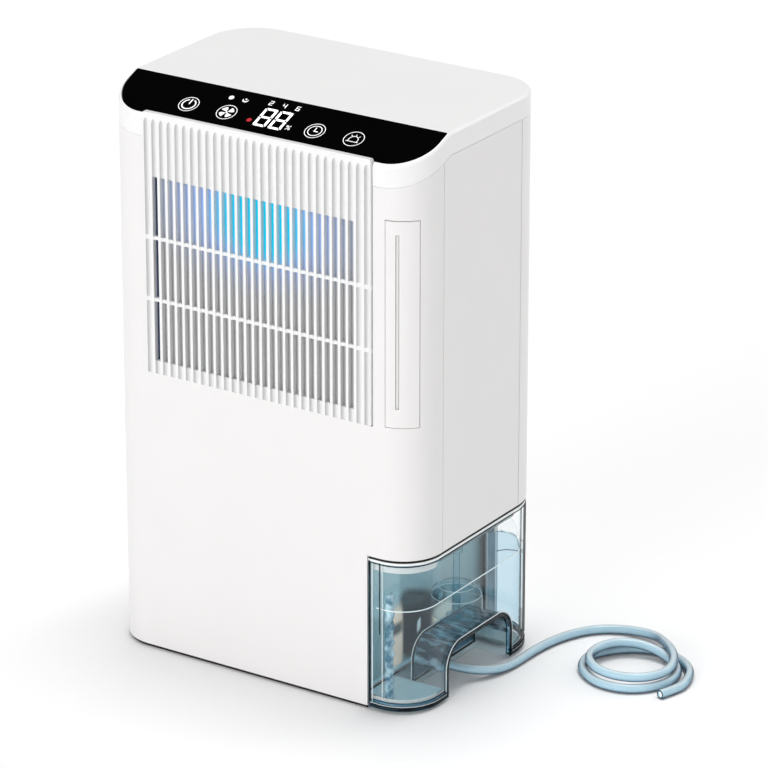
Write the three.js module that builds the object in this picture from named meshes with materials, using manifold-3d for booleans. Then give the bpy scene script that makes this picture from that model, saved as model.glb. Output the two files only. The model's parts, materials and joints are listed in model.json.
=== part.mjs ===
// Compact thermoelectric dehumidifier with a side-loading water tank and a
// continuous-drain hose.  Millimetres, +Z up.  X runs to the right seen from the
// front, the front face looks along -Y, and the origin is the middle of the
// footprint at floor level.
import * as THREE from 'three';
import { mergeVertices } from 'three/addons/utils/BufferGeometryUtils.js';
import Module from 'manifold-3d';

const wasm = await Module();
wasm.setup();

// ---------------------------------------------------------------- driving sizes
const HALF_W = 121;          // half of the casing width
const FRONT_Y = -78;         // front face of the casing
const REAR_Y = 79.5;         // rear face of the casing
const TOP_Z = 390;           // top face
const R_FRONT = 28.5;        // front vertical corners
const R_REAR = 34;           // rear vertical corners
const WALL = 2.5;            // moulded wall thickness
const GAP = 0.3;             // clearance between neighbouring pieces
const SEG = 9;               // facets per corner arc

const SHELL_Z = 2.4;         // lower edge of the casing
const SEAM_FRONT = -47;      // parting line front shell / side panels
const SEAM_REAR = 45;        // parting line side panels / rear cover
const SLOPE_BACK = -39.9;    // where the sloping fascia meets the flat top
const SLOPE_Z = 374.7;       // height of the fascia plane at the front face
const SKIRT = 14.5;          // height of the top cover's skirt

const GRILLE_X = 87.5;       // half width of the front grille
const GRILLE_FRONT = -79.5;  // front of the grille
const GRILLE_BACK = -76.0;
const GRILLE_Z0 = 198.9;
const GRILLE_Z1 = 377.4;
const GROOVES = 29;
const GROOVE_PITCH = 6.03;
const GROOVE_W = 4.04;
const ROWS = [[207.8, 248.8], [251.2, 291.2], [293.6, 334.0]]; // open slot rows

const TANK_X0 = 83.8;        // left edge of the exposed tank at front and rear
const BAY_X = 74.6;          // tank bay wall, tank side
const BAY_TOP = 108.4;       // top of the tank bay
const TANK_TOP = 106.6;
const TANK_Z = 1.8;
const TANK_WALL = 2.4;
const TANK_FLOOR = 7.6;
const ALCOVE = { y0: -37, y1: 36.4, top: 35.2, r: 14, x: 93.5 };

const HOSE_D = 7.2;          // drain hose outside diameter
const HOSE_EXIT = [96.8, -13.7, 12.1];
const COIL = { x: 200.5, y: 61, r0: 24.8, r1: 42.4, z0: 0.1, z1: 15.9 }; // lying coil of the hose

// ---------------------------------------------------------------- helpers
const group = new THREE.Group();
const V2 = (x, y) => new THREE.Vector2(x, y);

function toSolid(geometry) {
  let g = geometry.clone();
  g.deleteAttribute('normal');
  g.deleteAttribute('uv');
  g = mergeVertices(g, 1e-4);
  const m = new wasm.Manifold(new wasm.Mesh({
    numProp: 3,
    vertProperties: new Float32Array(g.attributes.position.array),
    triVerts: new Uint32Array(g.index.array),
  }));
  return m;
}

function toGeometry(solid) {
  const m = solid.getMesh();
  const g = new THREE.BufferGeometry();
  const n = m.numProp;
  const pos = new Float32Array((m.vertProperties.length / n) * 3);
  for (let i = 0, k = 0; i < m.vertProperties.length; i += n) {
    pos[k++] = m.vertProperties[i];
    pos[k++] = m.vertProperties[i + 1];
    pos[k++] = m.vertProperties[i + 2];
  }
  g.setAttribute('position', new THREE.BufferAttribute(pos, 3));
  g.setIndex(new THREE.BufferAttribute(new Uint32Array(m.triVerts), 1));
  g.computeVertexNormals();
  return g;
}

function node(name, solidOrGeometry, material) {
  const g = solidOrGeometry.isBufferGeometry ? solidOrGeometry : toGeometry(solidOrGeometry);
  const mesh = new THREE.Mesh(g, material);
  mesh.name = name;
  group.add(mesh);
  return mesh;
}

// counter-clockwise casing outline, moved inwards by inset
function outline(inset = 0, seg = SEG) {
  const x = HALF_W - inset, y0 = FRONT_Y + inset, y1 = REAR_Y - inset;
  const rf = R_FRONT - inset, rr = R_REAR - inset;
  const corners = [
    [x - rf, y0 + rf, rf, -90], [x - rr, y1 - rr, rr, 0],
    [-x + rr, y1 - rr, rr, 90], [-x + rf, y0 + rf, rf, 180],
  ];
  const pts = [];
  for (const [cx, cy, r, a0] of corners) {
    for (let i = 0; i <= seg; i++) {
      const a = THREE.MathUtils.degToRad(a0 + (90 * i) / seg);
      pts.push(V2(cx + r * Math.cos(a), cy + r * Math.sin(a)));
    }
  }
  return pts;
}

function prismZ(points, z0, z1) {
  const g = new THREE.ExtrudeGeometry(new THREE.Shape(points), { depth: z1 - z0, bevelEnabled: false, steps: 1 });
  g.translate(0, 0, z0);
  return toSolid(g);
}

const YZX = new THREE.Matrix4().makeBasis(new THREE.Vector3(0, 1, 0), new THREE.Vector3(0, 0, 1), new THREE.Vector3(1, 0, 0));
// profile given as (y, z) pairs, extruded along X
function prismX(points, x0, x1) {
  const g = new THREE.ExtrudeGeometry(new THREE.Shape(points.map((p) => V2(p[0], p[1]))), { depth: x1 - x0, bevelEnabled: false, steps: 1 });
  g.translate(0, 0, x0);
  g.applyMatrix4(YZX);
  return toSolid(g);
}

const ZXY = new THREE.Matrix4().makeBasis(new THREE.Vector3(0, 0, 1), new THREE.Vector3(1, 0, 0), new THREE.Vector3(0, 1, 0));
// profile given as (x, z) pairs, extruded along Y
function prismY(points, y0, y1) {
  const g = new THREE.ExtrudeGeometry(new THREE.Shape(points.map((p) => V2(p[1], p[0]))), { depth: y1 - y0, bevelEnabled: false, steps: 1 });
  g.translate(0, 0, y0);
  g.applyMatrix4(ZXY);
  return toSolid(g);
}

function box(x0, x1, y0, y1, z0, z1) {
  const g = new THREE.BoxGeometry(x1 - x0, y1 - y0, z1 - z0);
  g.translate((x0 + x1) / 2, (y0 + y1) / 2, (z0 + z1) / 2);
  return toSolid(g);
}

function cyl(axis, a, b, r, c0, c1, seg = 20, r2 = r) {
  const g = new THREE.CylinderGeometry(r2, r, c1 - c0, seg, 1);
  g.translate(0, (c0 + c1) / 2, 0);
  if (axis === 'z') { g.rotateX(Math.PI / 2); g.translate(a, b, 0); }       // along +Z at (x, y)
  if (axis === 'y') { g.translate(a, 0, b); }                               // along +Y at (x, z)
  if (axis === 'x') { g.rotateZ(-Math.PI / 2); g.translate(0, a, b); }      // along +X at (y, z)
  return toSolid(g);
}

// ring sector about the right front corner's centre; angles in degrees from -Y towards +X
const CCX = HALF_W - R_FRONT, CCY = FRONT_Y + R_FRONT;
function cornerSector(r0, r1, a0, a1, z0, z1, n = 6) {
  const pts = [];
  for (let i = 0; i <= n; i++) {
    const a = THREE.MathUtils.degToRad(a0 + ((a1 - a0) * i) / n);
    pts.push(V2(CCX + r1 * Math.sin(a), CCY - r1 * Math.cos(a)));
  }
  for (let i = n; i >= 0; i--) {
    const a = THREE.MathUtils.degToRad(a0 + ((a1 - a0) * i) / n);
    pts.push(V2(CCX + r0 * Math.sin(a), CCY - r0 * Math.cos(a)));
  }
  return prismZ(pts, z0, z1);
}

function union(list) { return list.reduce((a, b) => a.add(b)); }

const slopeZ = (y) => SLOPE_Z + ((y - FRONT_Y) * (TOP_Z - SLOPE_Z)) / (SLOPE_BACK - FRONT_Y);
// band between the top surface lowered by a and by b (a < b), as a (y, z) profile
function topBand(a, b, yMax = 120) {
  const y0 = -110;
  return [
    [y0, slopeZ(y0) - b], [SLOPE_BACK, TOP_Z - b], [yMax, TOP_Z - b],
    [yMax, TOP_Z - a], [SLOPE_BACK, TOP_Z - a], [y0, slopeZ(y0) - a],
  ];
}

// ---------------------------------------------------------------- materials
const mat = (name, color, roughness = 0.4, metalness = 0, extra = {}) =>
  Object.assign(new THREE.MeshStandardMaterial({ color, roughness, metalness, ...extra }), { name });
const M = {
  white: mat('white_casing', 0xf3f2f1, 0.3),
  grille: mat('white_grille', 0xf6f6f6, 0.32),
  black: mat('black_fascia', 0x050506, 0.08),
  base: mat('base_grey', 0x3a3c3e, 0.6),
  rubber: mat('rubber', 0x1c1c1c, 0.85),
  liner: mat('liner_white', 0xe4e6e6, 0.45),
  tank: mat('tank_clear', 0x8fc3da, 0.05, 0, { transparent: true, opacity: 0.35 }),
  float: mat('float_foam', 0xe9eef0, 0.6),
  magnet: mat('magnet', 0x2a2a2c, 0.4, 0.7),
  hose: mat('hose_clear', 0xa6cbe0, 0.2, 0, { transparent: true, opacity: 0.6 }),
  fitting: mat('fitting', 0xdfe7ea, 0.3),
  alu: mat('aluminium', 0xb9bcc0, 0.35, 0.9),
  ceramic: mat('ceramic', 0xf0efe9, 0.6),
  foam: mat('foam', 0x2c2d2f, 0.95),
  fan: mat('fan_black', 0x1d1e20, 0.5),
  pcb: mat('pcb', 0x1f5a3a, 0.5),
  lens: mat('lens', 0xf2f2ee, 0.35),
  screen: mat('screen', 0xbcc0c4, 0.8),
  steel: mat('steel', 0xa9abad, 0.3, 1.0),
};

// ---------------------------------------------------------------- casing
const outer = outline(0), inner = outline(WALL);
const tube = prismZ(outer, 0, 400).subtract(prismZ(inner, -5, 405));
// everything under the skirt's lower edge
const underSkirt = prismX([
  [-110, SHELL_Z], [120, SHELL_Z], [120, TOP_Z - SKIRT - 0.4],
  [SLOPE_BACK, TOP_Z - SKIRT - 0.4], [-110, slopeZ(-110) - SKIRT - 0.4],
], -140, 140);
const tankCut = box(TANK_X0 - 0.4, 140, -120, 120, -5, BAY_TOP);

// front shell: front face and both front corners, with the grille window
let frontShell = tube.intersect(underSkirt).intersect(box(-140, 140, -120, SEAM_FRONT - 0.2, -5, 400));
frontShell = frontShell.subtract(tankCut);
frontShell = frontShell.subtract(box(-GRILLE_X - GAP, GRILLE_X + GAP, -90, -60, GRILLE_Z0 - GAP, 400));
frontShell = frontShell.subtract(cornerSector(20, 34, 8.6, 54.5, 200, 339.2));
// retaining rim behind the grille window and two screw towers
const rim = box(-92, 92, -75.7, -72.6, 194, 358).subtract(box(-83.4, 83.4, -80, -70, 203.2, 352));
frontShell = frontShell.add(rim);
node('front_shell', frontShell, M.white);

// corner light: bezel, lens strip and its LED strip
let bezel = cornerSector(25.4, 28.8, 9.4, 53.7, 200.4, 338.8)
  .add(cornerSector(23.4, 25.6, 10.5, 52.5, 200.4, 338.8));
bezel = bezel.subtract(cornerSector(20, 32, 22.8, 27.2, 213.1, 329.7, 2));
node('corner_light_bezel', bezel, M.white);
const lens = cornerSector(22.4, 28.2, 23.4, 26.6, 213.5, 329.3, 1)
  .add(cornerSector(20.6, 23.0, 19, 31, 211, 332, 2));
node('corner_light_lens', lens, M.lens);
node('corner_led_strip', cornerSector(18.4, 20.2, 20, 30, 213, 330, 1), M.pcb);

// side panels
const sideCut = box(-140, 140, SEAM_FRONT + 0.2, SEAM_REAR - 0.2, -5, 400);
const sides = tube.intersect(underSkirt).intersect(sideCut);
node('left_side_panel', sides.intersect(box(-140, 0, -120, 120, -5, 400)), M.white);
node('right_side_panel', sides.intersect(box(0, 140, -120, 120, BAY_TOP, 400)), M.white);

// rear cover with its exhaust vents, inlet hole and intake slots
let rear = tube.intersect(underSkirt).intersect(box(-140, 140, SEAM_REAR + 0.2, 120, -5, 400)).subtract(tankCut);
const ventCuts = [];
for (let i = 0; i < 13; i++) {
  const z = 236 + i * 7.4;
  const half = Math.sqrt(Math.max(0, 48 * 48 - (z + 1.8 - 282.2) ** 2));
  if (half > 8) ventCuts.push(box(-half, half, 70, 90, z, z + 3.6));
}
rear = rear.subtract(union(ventCuts));
rear = rear.add(box(-1.6, 1.6, 76.6, 78.9, 230, 334));                     // centre mullion
rear = rear.subtract(cyl('y', -84, 30, 5.6, 60, 100, 16));                 // inlet hole
const SCREWS = [[-62, 358], [62, 358], [-62, 52], [46, 52]];
for (const [x, z] of SCREWS) rear = rear.subtract(cyl('y', x, z, 2.1, 60, 100, 12));
node('rear_cover', rear, M.white);
SCREWS.forEach(([x, z], i) => {
  const screw = cyl('y', x, z, 1.7, 66, 77.0, 10).add(cyl('y', x, z, 1.75, 76.6, 79.3, 10));
  node(`rear_screw_${i + 1}`, screw, M.steel);
});

// top cover: flat top, sloping fascia recess, skirt
let top = prismZ(outer, 340, 400).intersect(prismX(topBand(0, SKIRT), -140, 140));
const cavity = prismZ(inner, 330, 400).intersect(prismX([
  [-110, slopeZ(-110) - 60], [120, TOP_Z - 60], [120, TOP_Z - 2.6],
  [SLOPE_BACK + 1.6, TOP_Z - 2.6], [SLOPE_BACK - 0.2, TOP_Z - 4.5], [-110, slopeZ(-110) - 4.5],
], -140, 140));
top = top.subtract(cavity);
const fasciaIn = outline(1.9).map((p) => V2(p.x, p.y));
top = top.subtract(prismZ(fasciaIn, 340, 400).intersect(prismX([
  [-110, slopeZ(-110) - 2.0], [SLOPE_BACK - 0.3, slopeZ(SLOPE_BACK - 0.3) - 2.0],
  [SLOPE_BACK - 0.3, 400], [-110, 400],
], -140, 140)));
top = top.subtract(box(-GRILLE_X - GAP, GRILLE_X + GAP, -90, -75.7, 340, GRILLE_Z1 + GAP));
top = top.subtract(prismX([[-68, 340], [-50, 340], [-50, 400], [-68, 400]], -19, 24)); // display window
node('top_cover', top, M.white);

// black fascia plate
let fascia = prismZ(outline(2.3), 340, 400).intersect(prismX([
  [-110, slopeZ(-110) - 1.7], [SLOPE_BACK - 0.6, slopeZ(SLOPE_BACK - 0.6) - 1.7],
  [SLOPE_BACK - 0.6, slopeZ(SLOPE_BACK - 0.6) + 0.1], [-110, slopeZ(-110) + 0.1],
], -140, 140));
node('control_panel', fascia, M.black);

// display board under the fascia: board, digit block and five touch pads
const slopeA = Math.atan2(TOP_Z - SLOPE_Z, SLOPE_BACK - FRONT_Y);
function onSlope(x0, x1, s0, s1, h0, h1) { // s along the slope from the front face, h normal to it
  const c = Math.cos(slopeA), s = Math.sin(slopeA);
  const p = (a, h) => [FRONT_Y + a * c - h * s, SLOPE_Z + a * s + h * c];
  return prismX([p(s0, h0), p(s1, h0), p(s1, h1), p(s0, h1)], x0, x1);
}
let board = onSlope(-76, 76, 9, 34, -8.8, -7.2);
board = board.add(onSlope(-16, 20, 13.2, 28, -7.4, -2.3));
for (const x of [-63, -34, 34, 63]) board = board.add(onSlope(x - 4, x + 4, 14, 22, -7.4, -4.9));
node('display_board', board, M.pcb);

// front grille
let grille = box(-GRILLE_X, GRILLE_X, GRILLE_FRONT, GRILLE_BACK, GRILLE_Z0, GRILLE_Z1);
const cuts = [];
for (let i = 0; i < GROOVES; i++) {
  const x = (i - (GROOVES - 1) / 2) * GROOVE_PITCH;
  if (i >= 1 && i <= 26) {
    for (const [z0, z1] of ROWS) cuts.push(box(x - GROOVE_W / 2, x + GROOVE_W / 2, -85, -70, z0, z1));
  }
  cuts.push(box(x - GROOVE_W / 2, x + GROOVE_W / 2, -85, GRILLE_FRONT + 1.2, GRILLE_Z0 - 1, GRILLE_Z1 - 4.4));
}
grille = grille.subtract(union(cuts));
node('front_grille', grille, M.grille);

// dust screen clipped in the rim behind the grille, and the blue lamp board behind it
node('dust_screen', box(-83.1, 83.1, -75.5, -74.3, 203.5, 351.7), M.screen);
let lamp = box(-34, 34, -70.5, -68.9, 338, 350);
for (let i = -2; i <= 2; i++) lamp = lamp.add(box(i * 13 - 2, i * 13 + 2, -72.2, -70.4, 341, 345));
node('glow_led_board', lamp, M.pcb);


// ---------------------------------------------------------------- cooling module
const CZ = 282;              // height of the module's axis
// module frame: a plate with a window that carries sinks and fan, on two legs
let frame = box(-70, 70, -41.4, -37.9, 214, 350).subtract(box(-57, 57, -50, -30, 226, 338));
frame = frame.add(box(-70, -64, -41.4, -20, 8, 216)).add(box(58, 64, -41.4, -20, 8, 216));
frame = frame.add(box(-70, -64, -41.4, -37.9, 200, 350));
node('module_frame', frame, M.liner);

let cold = box(-56, 56, -45.8, -41.9, 228, 336);
for (let i = 0; i < 19; i++) { const x = -54 + i * 6; cold = cold.add(box(x - 0.8, x + 0.8, -66, -45, 228, 336)); }
node('cold_sink', cold, M.alu);

let gasket = box(-56, 56, -41.3, -38.0, 227, 337).subtract(box(-20.6, 20.6, -50, -30, CZ - 20.6, CZ + 20.6));
node('insulation_gasket', gasket, M.foam);
node('peltier_module', box(-20, 20, -41.5, -37.9, CZ - 20, CZ + 20), M.ceramic);

let hot = box(-56, 56, -37.5, -33, 228, 336);
for (let i = 0; i < 23; i++) { const x = -55 + i * 5; hot = hot.add(box(x - 0.6, x + 0.6, -34, -6, 228, 336)); }
node('hot_sink', hot, M.alu);

// fan: square frame with four rear struts and a motor plate, seven-blade rotor
let fanFrame = box(-46, 46, -5.6, 19.4, CZ - 46, CZ + 46).subtract(cyl('y', 0, CZ, 43.2, -10, 30, 40));
fanFrame = fanFrame.add(cyl('y', 0, CZ, 17, 16.2, 19.4, 20));
for (const a of [45, 135]) {
  const g = new THREE.BoxGeometry(92, 3.2, 4);
  g.rotateY(THREE.MathUtils.degToRad(a));
  g.translate(0, 17.8, CZ);
  fanFrame = fanFrame.add(toSolid(g));
}
const FAN_SCREWS = [[-41, CZ - 41], [41, CZ - 41], [-41, CZ + 41], [41, CZ + 41]];
for (const [x, z] of FAN_SCREWS) fanFrame = fanFrame.subtract(cyl('y', x, z, 2.2, -20, 40, 10));
node('fan_frame', fanFrame, M.fan);
let rotor = cyl('y', 0, CZ, 15.5, -3.5, 15.6, 24);
for (let i = 0; i < 7; i++) {
  const g = new THREE.BoxGeometry(27.5, 1.8, 19);
  g.rotateX(THREE.MathUtils.degToRad(-38));
  g.translate(27.4, 6, 0);
  g.rotateY((2 * Math.PI * i) / 7);
  g.translate(0, 0, CZ);
  rotor = rotor.add(toSolid(g));
}
node('fan_rotor', rotor, M.fan);
FAN_SCREWS.forEach(([x, z], i) => {
  node(`fan_screw_${i + 1}`, cyl('y', x, z, 1.7, 2, 21, 10).add(cyl('y', x, z, 3.6, 19.7, 22, 12)), M.steel);
});
// exhaust duct from the fan to the rear vents
const ductRing = (r0, r1, y0, y1) => cyl('y', 0, CZ, r1, y0, y1, 32).subtract(cyl('y', 0, CZ, r0, y0 - 1, y1 + 1, 32));
node('exhaust_duct', ductRing(48, 50, 22.4, 76.6).add(
  box(-54, 54, 22.4, 24.4, CZ - 54, CZ + 54).subtract(cyl('y', 0, CZ, 48, 0, 60, 32))), M.liner);

// drip tray under the cold sink and the tube that leads the water over the tank
let tray = box(-60, 60, -69, -44, 205, 222).subtract(box(-58, 58, -67, -46, 208, 230)).subtract(box(50, 57, -62, -55, 200, 210));
node('drip_tray', tray, M.liner);
const dripPath = new THREE.CatmullRomCurve3([[53.5, -58.5, 204.6], [53.5, -58.5, 190], [56, -57.5, 170], [66, -55, 152], [82, -52, 140], [95, -50.5, 131], [100, -50, 120], [100, -50, 107]].map((p) => new THREE.Vector3(...p)), false, 'centripetal');
const ringShape = new THREE.Shape(Array.from({ length: 10 }, (_, i) => V2(4.6 * Math.cos((Math.PI * i) / 5), 4.6 * Math.sin((Math.PI * i) / 5))));
ringShape.holes.push(new THREE.Path(Array.from({ length: 10 }, (_, i) => V2(3.2 * Math.cos((-Math.PI * i) / 5), 3.2 * Math.sin((-Math.PI * i) / 5)))));
node('drip_tube', toSolid(new THREE.ExtrudeGeometry(ringShape, { steps: 16, extrudePath: dripPath, bevelEnabled: false })), M.fitting);

// ---------------------------------------------------------------- electronics
let main = box(-56, 46, 30, 31.6, 16, 104);
main = main.add(box(-40, -18, 15, 30.4, 60, 92)).add(cyl('y', 4, 84, 8, 10, 30.4, 16)).add(cyl('y', 24, 84, 6.3, 14, 30.4, 16))
  .add(box(-6, 22, 20, 30.4, 40, 62)).add(box(-48, -30, 22, 30.4, 24, 40)).add(box(6, 34, 24, 30.4, 18, 28));
node('main_board', main, M.pcb);
node('board_bracket', box(-60, -52, 32, 40, 6.8, 110).add(box(44, 52, 32, 40, 6.8, 110)).add(box(-60, 52, 36, 40, 6.8, 14)), M.liner);
let jack = box(-91, -77, 58, 76.6, 23.5, 36.5).add(cyl('y', -84, 30, 5.2, 76, 78.4, 16)).subtract(cyl('y', -84, 30, 3.1, 66, 90, 16));
jack = jack.add(cyl('y', -84, 30, 1.0, 62, 77, 10));
node('dc_inlet', jack, M.fan);
node('humidity_sensor', box(70, 88, 60, 61.6, 300, 324).add(box(73, 85, 61, 66, 305, 319)), M.pcb);

// ---------------------------------------------------------------- base and feet
let base = prismZ(outline(WALL + GAP), 3, 6.4).subtract(box(BAY_X - 2.6, 140, -120, 120, -5, 50));
base = base.add(prismZ(outline(WALL + GAP), 3, 14).subtract(prismZ(outline(WALL + GAP + 2), -5, 50)).subtract(box(BAY_X - 2.6, 140, -120, 120, -5, 50)));
// two tongues that carry the tank
base = base.add(box(60, 108, -66, -52, 3, 5)).add(box(60, 108, 50, 64, 3, 5));
const BASE_SCREWS = [[-104, -30], [-104, 30], [-20, -66], [-20, 66]];
BASE_SCREWS.forEach(([x, y], i) => {
  base = base.subtract(cyl('z', x, y, 1.9, -5, 20, 10)).subtract(cyl('z', x, y, 3.8, -5, 4.6, 12));
});
node('base_plate', base, M.base);
BASE_SCREWS.forEach(([x, y], i) => {
  node(`base_screw_${i + 1}`, cyl('z', x, y, 3.3, 3.0, 4.3, 12).add(cyl('z', x, y, 1.5, 4.0, 13, 10)), M.steel);
});
const FEET = { foot_front_left: [-88, -48], foot_rear_left: [-84, 48], foot_front_right: [52, -48], foot_rear_right: [52, 48] };
for (const [n, [x, y]] of Object.entries(FEET)) node(n, cyl('z', x, y, 8, 0, 2.7, 20), M.rubber);

// tank bay liner: wall, ceiling and drip hole
let liner = box(BAY_X - 2.2, BAY_X, -75.2, 76.7, 6.8, 111.6);
liner = liner.add(box(BAY_X - 2.2, 117.9, -75.2, 76.7, 109.4, 111.6).intersect(prismZ(outline(WALL + GAP), 100, 120)));
liner = liner.subtract(cyl('z', 100, -50, 6, 100, 120, 16));
node('tank_bay_liner', liner, M.liner);

// ---------------------------------------------------------------- water tank
const tankOuter = outline(0.5, 12);
let shellT = prismZ(tankOuter, TANK_Z, TANK_TOP).intersect(box(TANK_X0, 140, -120, 120, -5, 200));
// part hidden behind the casing's edges
shellT = shellT.add(prismZ(outline(WALL + 0.6, 12), TANK_FLOOR - 2.4, TANK_TOP).intersect(box(BAY_X + 0.8, TANK_X0 + 1, -120, 120, -5, 200)));
const tankIn = prismZ(outline(0.5 + TANK_WALL, 12), TANK_FLOOR, 200).intersect(box(BAY_X + 0.8 + TANK_WALL, 140, -(78 - 3.1 - TANK_WALL), REAR_Y - 3.1 - TANK_WALL, -5, 200));
// arched alcove: an opening in the right wall and bottom that the hose passes through
function arch(grow, x0, x1, zb) {
  const { y0, y1, top: t, r } = ALCOVE;
  const a = y0 - grow, b = y1 + grow, z1 = t + grow, rr = r + grow, pts = [[a, zb], [b, zb]];
  const n = 6;
  for (let i = 0; i <= n; i++) { const q = (Math.PI / 2) * (i / n); pts.push([b - rr + rr * Math.cos(q), z1 - rr + rr * Math.sin(q)]); }
  for (let i = 0; i <= n; i++) { const q = (Math.PI / 2) * (i / n); pts.push([a + rr - rr * Math.sin(q), z1 - rr + rr * Math.cos(q)]); }
  return prismX(pts, x0, x1);
}
const alcoveWall = arch(TANK_WALL, ALCOVE.x - TANK_WALL, 140, 0);
let tank = shellT.subtract(tankIn.subtract(alcoveWall));
tank = tank.subtract(arch(0, ALCOVE.x, 140, -10));
// channels under the floor for the base plate's tongues
tank = tank.subtract(box(60, 108.4, -66.4, -51.6, -5, 5.35)).subtract(box(60, 108.4, 49.6, 64.4, -5, 5.35));
// lower rear wall with a raised finger tab, lower inner wall
tank = tank.subtract(prismX([[60, 71.5], [120, 71.5], [120, 200], [60, 200]], 60, 81.5));
tank = tank.subtract(prismY([[81.4, 80.5], [96.5, 81.5], [99.6, 79.8], [102.4, 73.6], [104.6, 71.5], [111.5, 71.5], [111.5, 200], [81.4, 200]], 68, 120));
tank = tank.subtract(box(BAY_X, BAY_X + 0.8 + TANK_WALL + 0.1, -60, 60, 96, 200));
// port for the drain fitting in the alcove's back wall
tank = tank.subtract(cyl('x', HOSE_EXIT[1], HOSE_EXIT[2], 2.8, 80, 100, 14));
node('water_tank', tank, M.tank);

// drain fitting screwed through the alcove's back wall, with its inner nut and washer
let fitting = cyl('x', HOSE_EXIT[1], HOSE_EXIT[2], 2.4, 86.5, HOSE_EXIT[0] - 0.3, 14)
  .add(cyl('x', HOSE_EXIT[1], HOSE_EXIT[2], 5.4, ALCOVE.x + GAP, HOSE_EXIT[0] - 0.3, 14));
node('drain_fitting', fitting, M.fitting);
const nut = cyl('x', HOSE_EXIT[1], HOSE_EXIT[2], 4.2, 87.2, 90.6, 12).subtract(cyl('x', HOSE_EXIT[1], HOSE_EXIT[2], 2.75, 80, 95, 14));
node('drain_fitting_nut', nut, M.fitting);

// float on its guide post, with a magnet in its crown, and the reed switch behind the bay wall
const FX = 98, FY = 6;
const guide = cyl('z', FX, FY, 2.2, ALCOVE.top + TANK_WALL + GAP, 84, 12)
  .add(cyl('z', FX, FY, 7, ALCOVE.top + TANK_WALL + GAP, ALCOVE.top + TANK_WALL + 1.8, 16))
  .add(cyl('z', FX, FY, 4.2, 84, 86, 12));
node('float_guide', guide, M.fitting);
const fl = new THREE.LatheGeometry([
  [2.9, 0], [16.4, 0], [17.4, 1.4], [17.4, 13], [16.2, 17.2], [12.6, 20.2], [7.4, 21.6], [2.9, 22], [2.9, 0],
].map((p) => V2(p[0], p[1])), 24);
fl.rotateX(Math.PI / 2);
fl.translate(FX, FY, 40.4);
let floatSolid = toSolid(fl).subtract(cyl('x', FY, 50, 3.4, FX - 30, FX - 11.6, 14));
node('float', floatSolid, M.float);
node('float_magnet', cyl('x', FY, 50, 3.0, FX - 16.6, FX - 12, 14), M.magnet);
node('reed_switch', box(BAY_X - 8, BAY_X - 2.5, FY - 14, FY + 14, 62, 72), M.fan);

// ---------------------------------------------------------------- drain hose
const HOSE_PATH = [
  [97.7, -13.7, 12.1], [105.9, -11.7, 11.01], [113.7, -7.8, 9.37], [120.1, -1.9, 7.50], [124.7, 5.5, 5.82],
  [127.6, 13.7, 4.56], [129.2, 22.5, 3.85], [129.8, 31.3, 3.70], [130.0, 40.2, 3.70], [130.2, 49.1, 3.74],
  [130.6, 58.0, 3.80], [131.6, 66.8, 3.82], [133.3, 75.5, 3.81], [136.0, 84.0, 3.76], [140.0, 91.9, 3.71],
  [145.5, 98.9, 3.70], [152.3, 104.6, 3.70], [160.1, 108.8, 3.71], [168.5, 111.7, 3.89], [177.3, 113.0, 4.45],
  [186.1, 112.7, 5.42], [194.6, 110.7, 6.85], [202.5, 107.0, 8.58],
];
function hoseTube(points, r, sides, steps) {
  const curve = new THREE.CatmullRomCurve3(points.map((p) => new THREE.Vector3(...p)), false, 'centripetal');
  const sh = new THREE.Shape(Array.from({ length: sides }, (_, i) => {
    const a = (2 * Math.PI * (i + 0.5)) / sides;
    return V2(r * Math.cos(a), r * Math.sin(a));
  }));
  return new THREE.ExtrudeGeometry(sh, { steps, extrudePath: curve, bevelEnabled: false });
}
const coilRing = (grow) => {
  const g = new THREE.LatheGeometry([
    [COIL.r0 - grow, COIL.z0 - grow], [COIL.r1 + grow, COIL.z0 - grow],
    [COIL.r1 + grow, COIL.z1 + grow], [COIL.r0 - grow, COIL.z1 + grow], [COIL.r0 - grow, COIL.z0 - grow],
  ].map((p) => V2(p[0], p[1])), 36);
  g.rotateX(Math.PI / 2);
  g.translate(COIL.x, COIL.y, 0);
  return toSolid(g);
};
node('drain_hose', toSolid(hoseTube(HOSE_PATH, HOSE_D / 2, 8, 25)).subtract(coilRing(GAP)), M.hose);
node('drain_hose_coil', coilRing(0), M.hose);

group.name = 'dehumidifier';
export default group;
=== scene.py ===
import bmesh
import bpy
import json
import math
from mathutils import Matrix, Vector

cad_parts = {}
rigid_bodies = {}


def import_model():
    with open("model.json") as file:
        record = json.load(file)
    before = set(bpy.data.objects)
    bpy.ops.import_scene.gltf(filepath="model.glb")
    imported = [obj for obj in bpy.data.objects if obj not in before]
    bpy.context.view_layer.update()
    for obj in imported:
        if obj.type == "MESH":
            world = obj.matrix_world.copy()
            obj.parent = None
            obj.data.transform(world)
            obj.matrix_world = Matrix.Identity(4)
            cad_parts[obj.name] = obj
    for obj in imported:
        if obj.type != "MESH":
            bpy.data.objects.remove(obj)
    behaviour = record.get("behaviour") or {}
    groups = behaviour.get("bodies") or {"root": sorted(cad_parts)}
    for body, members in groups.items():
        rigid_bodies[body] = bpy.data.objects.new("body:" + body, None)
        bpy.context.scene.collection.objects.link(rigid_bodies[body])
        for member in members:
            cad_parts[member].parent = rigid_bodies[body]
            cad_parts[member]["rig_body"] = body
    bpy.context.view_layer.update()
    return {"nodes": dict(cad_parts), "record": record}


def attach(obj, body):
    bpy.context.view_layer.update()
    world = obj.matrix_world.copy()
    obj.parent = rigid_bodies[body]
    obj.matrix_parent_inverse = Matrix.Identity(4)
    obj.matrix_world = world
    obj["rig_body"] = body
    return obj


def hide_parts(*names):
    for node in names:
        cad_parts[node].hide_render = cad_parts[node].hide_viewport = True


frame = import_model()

SCENE = bpy.context.scene
COL = SCENE.collection
NODES = frame["nodes"]
MM = 0.001
rad = math.radians

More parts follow.
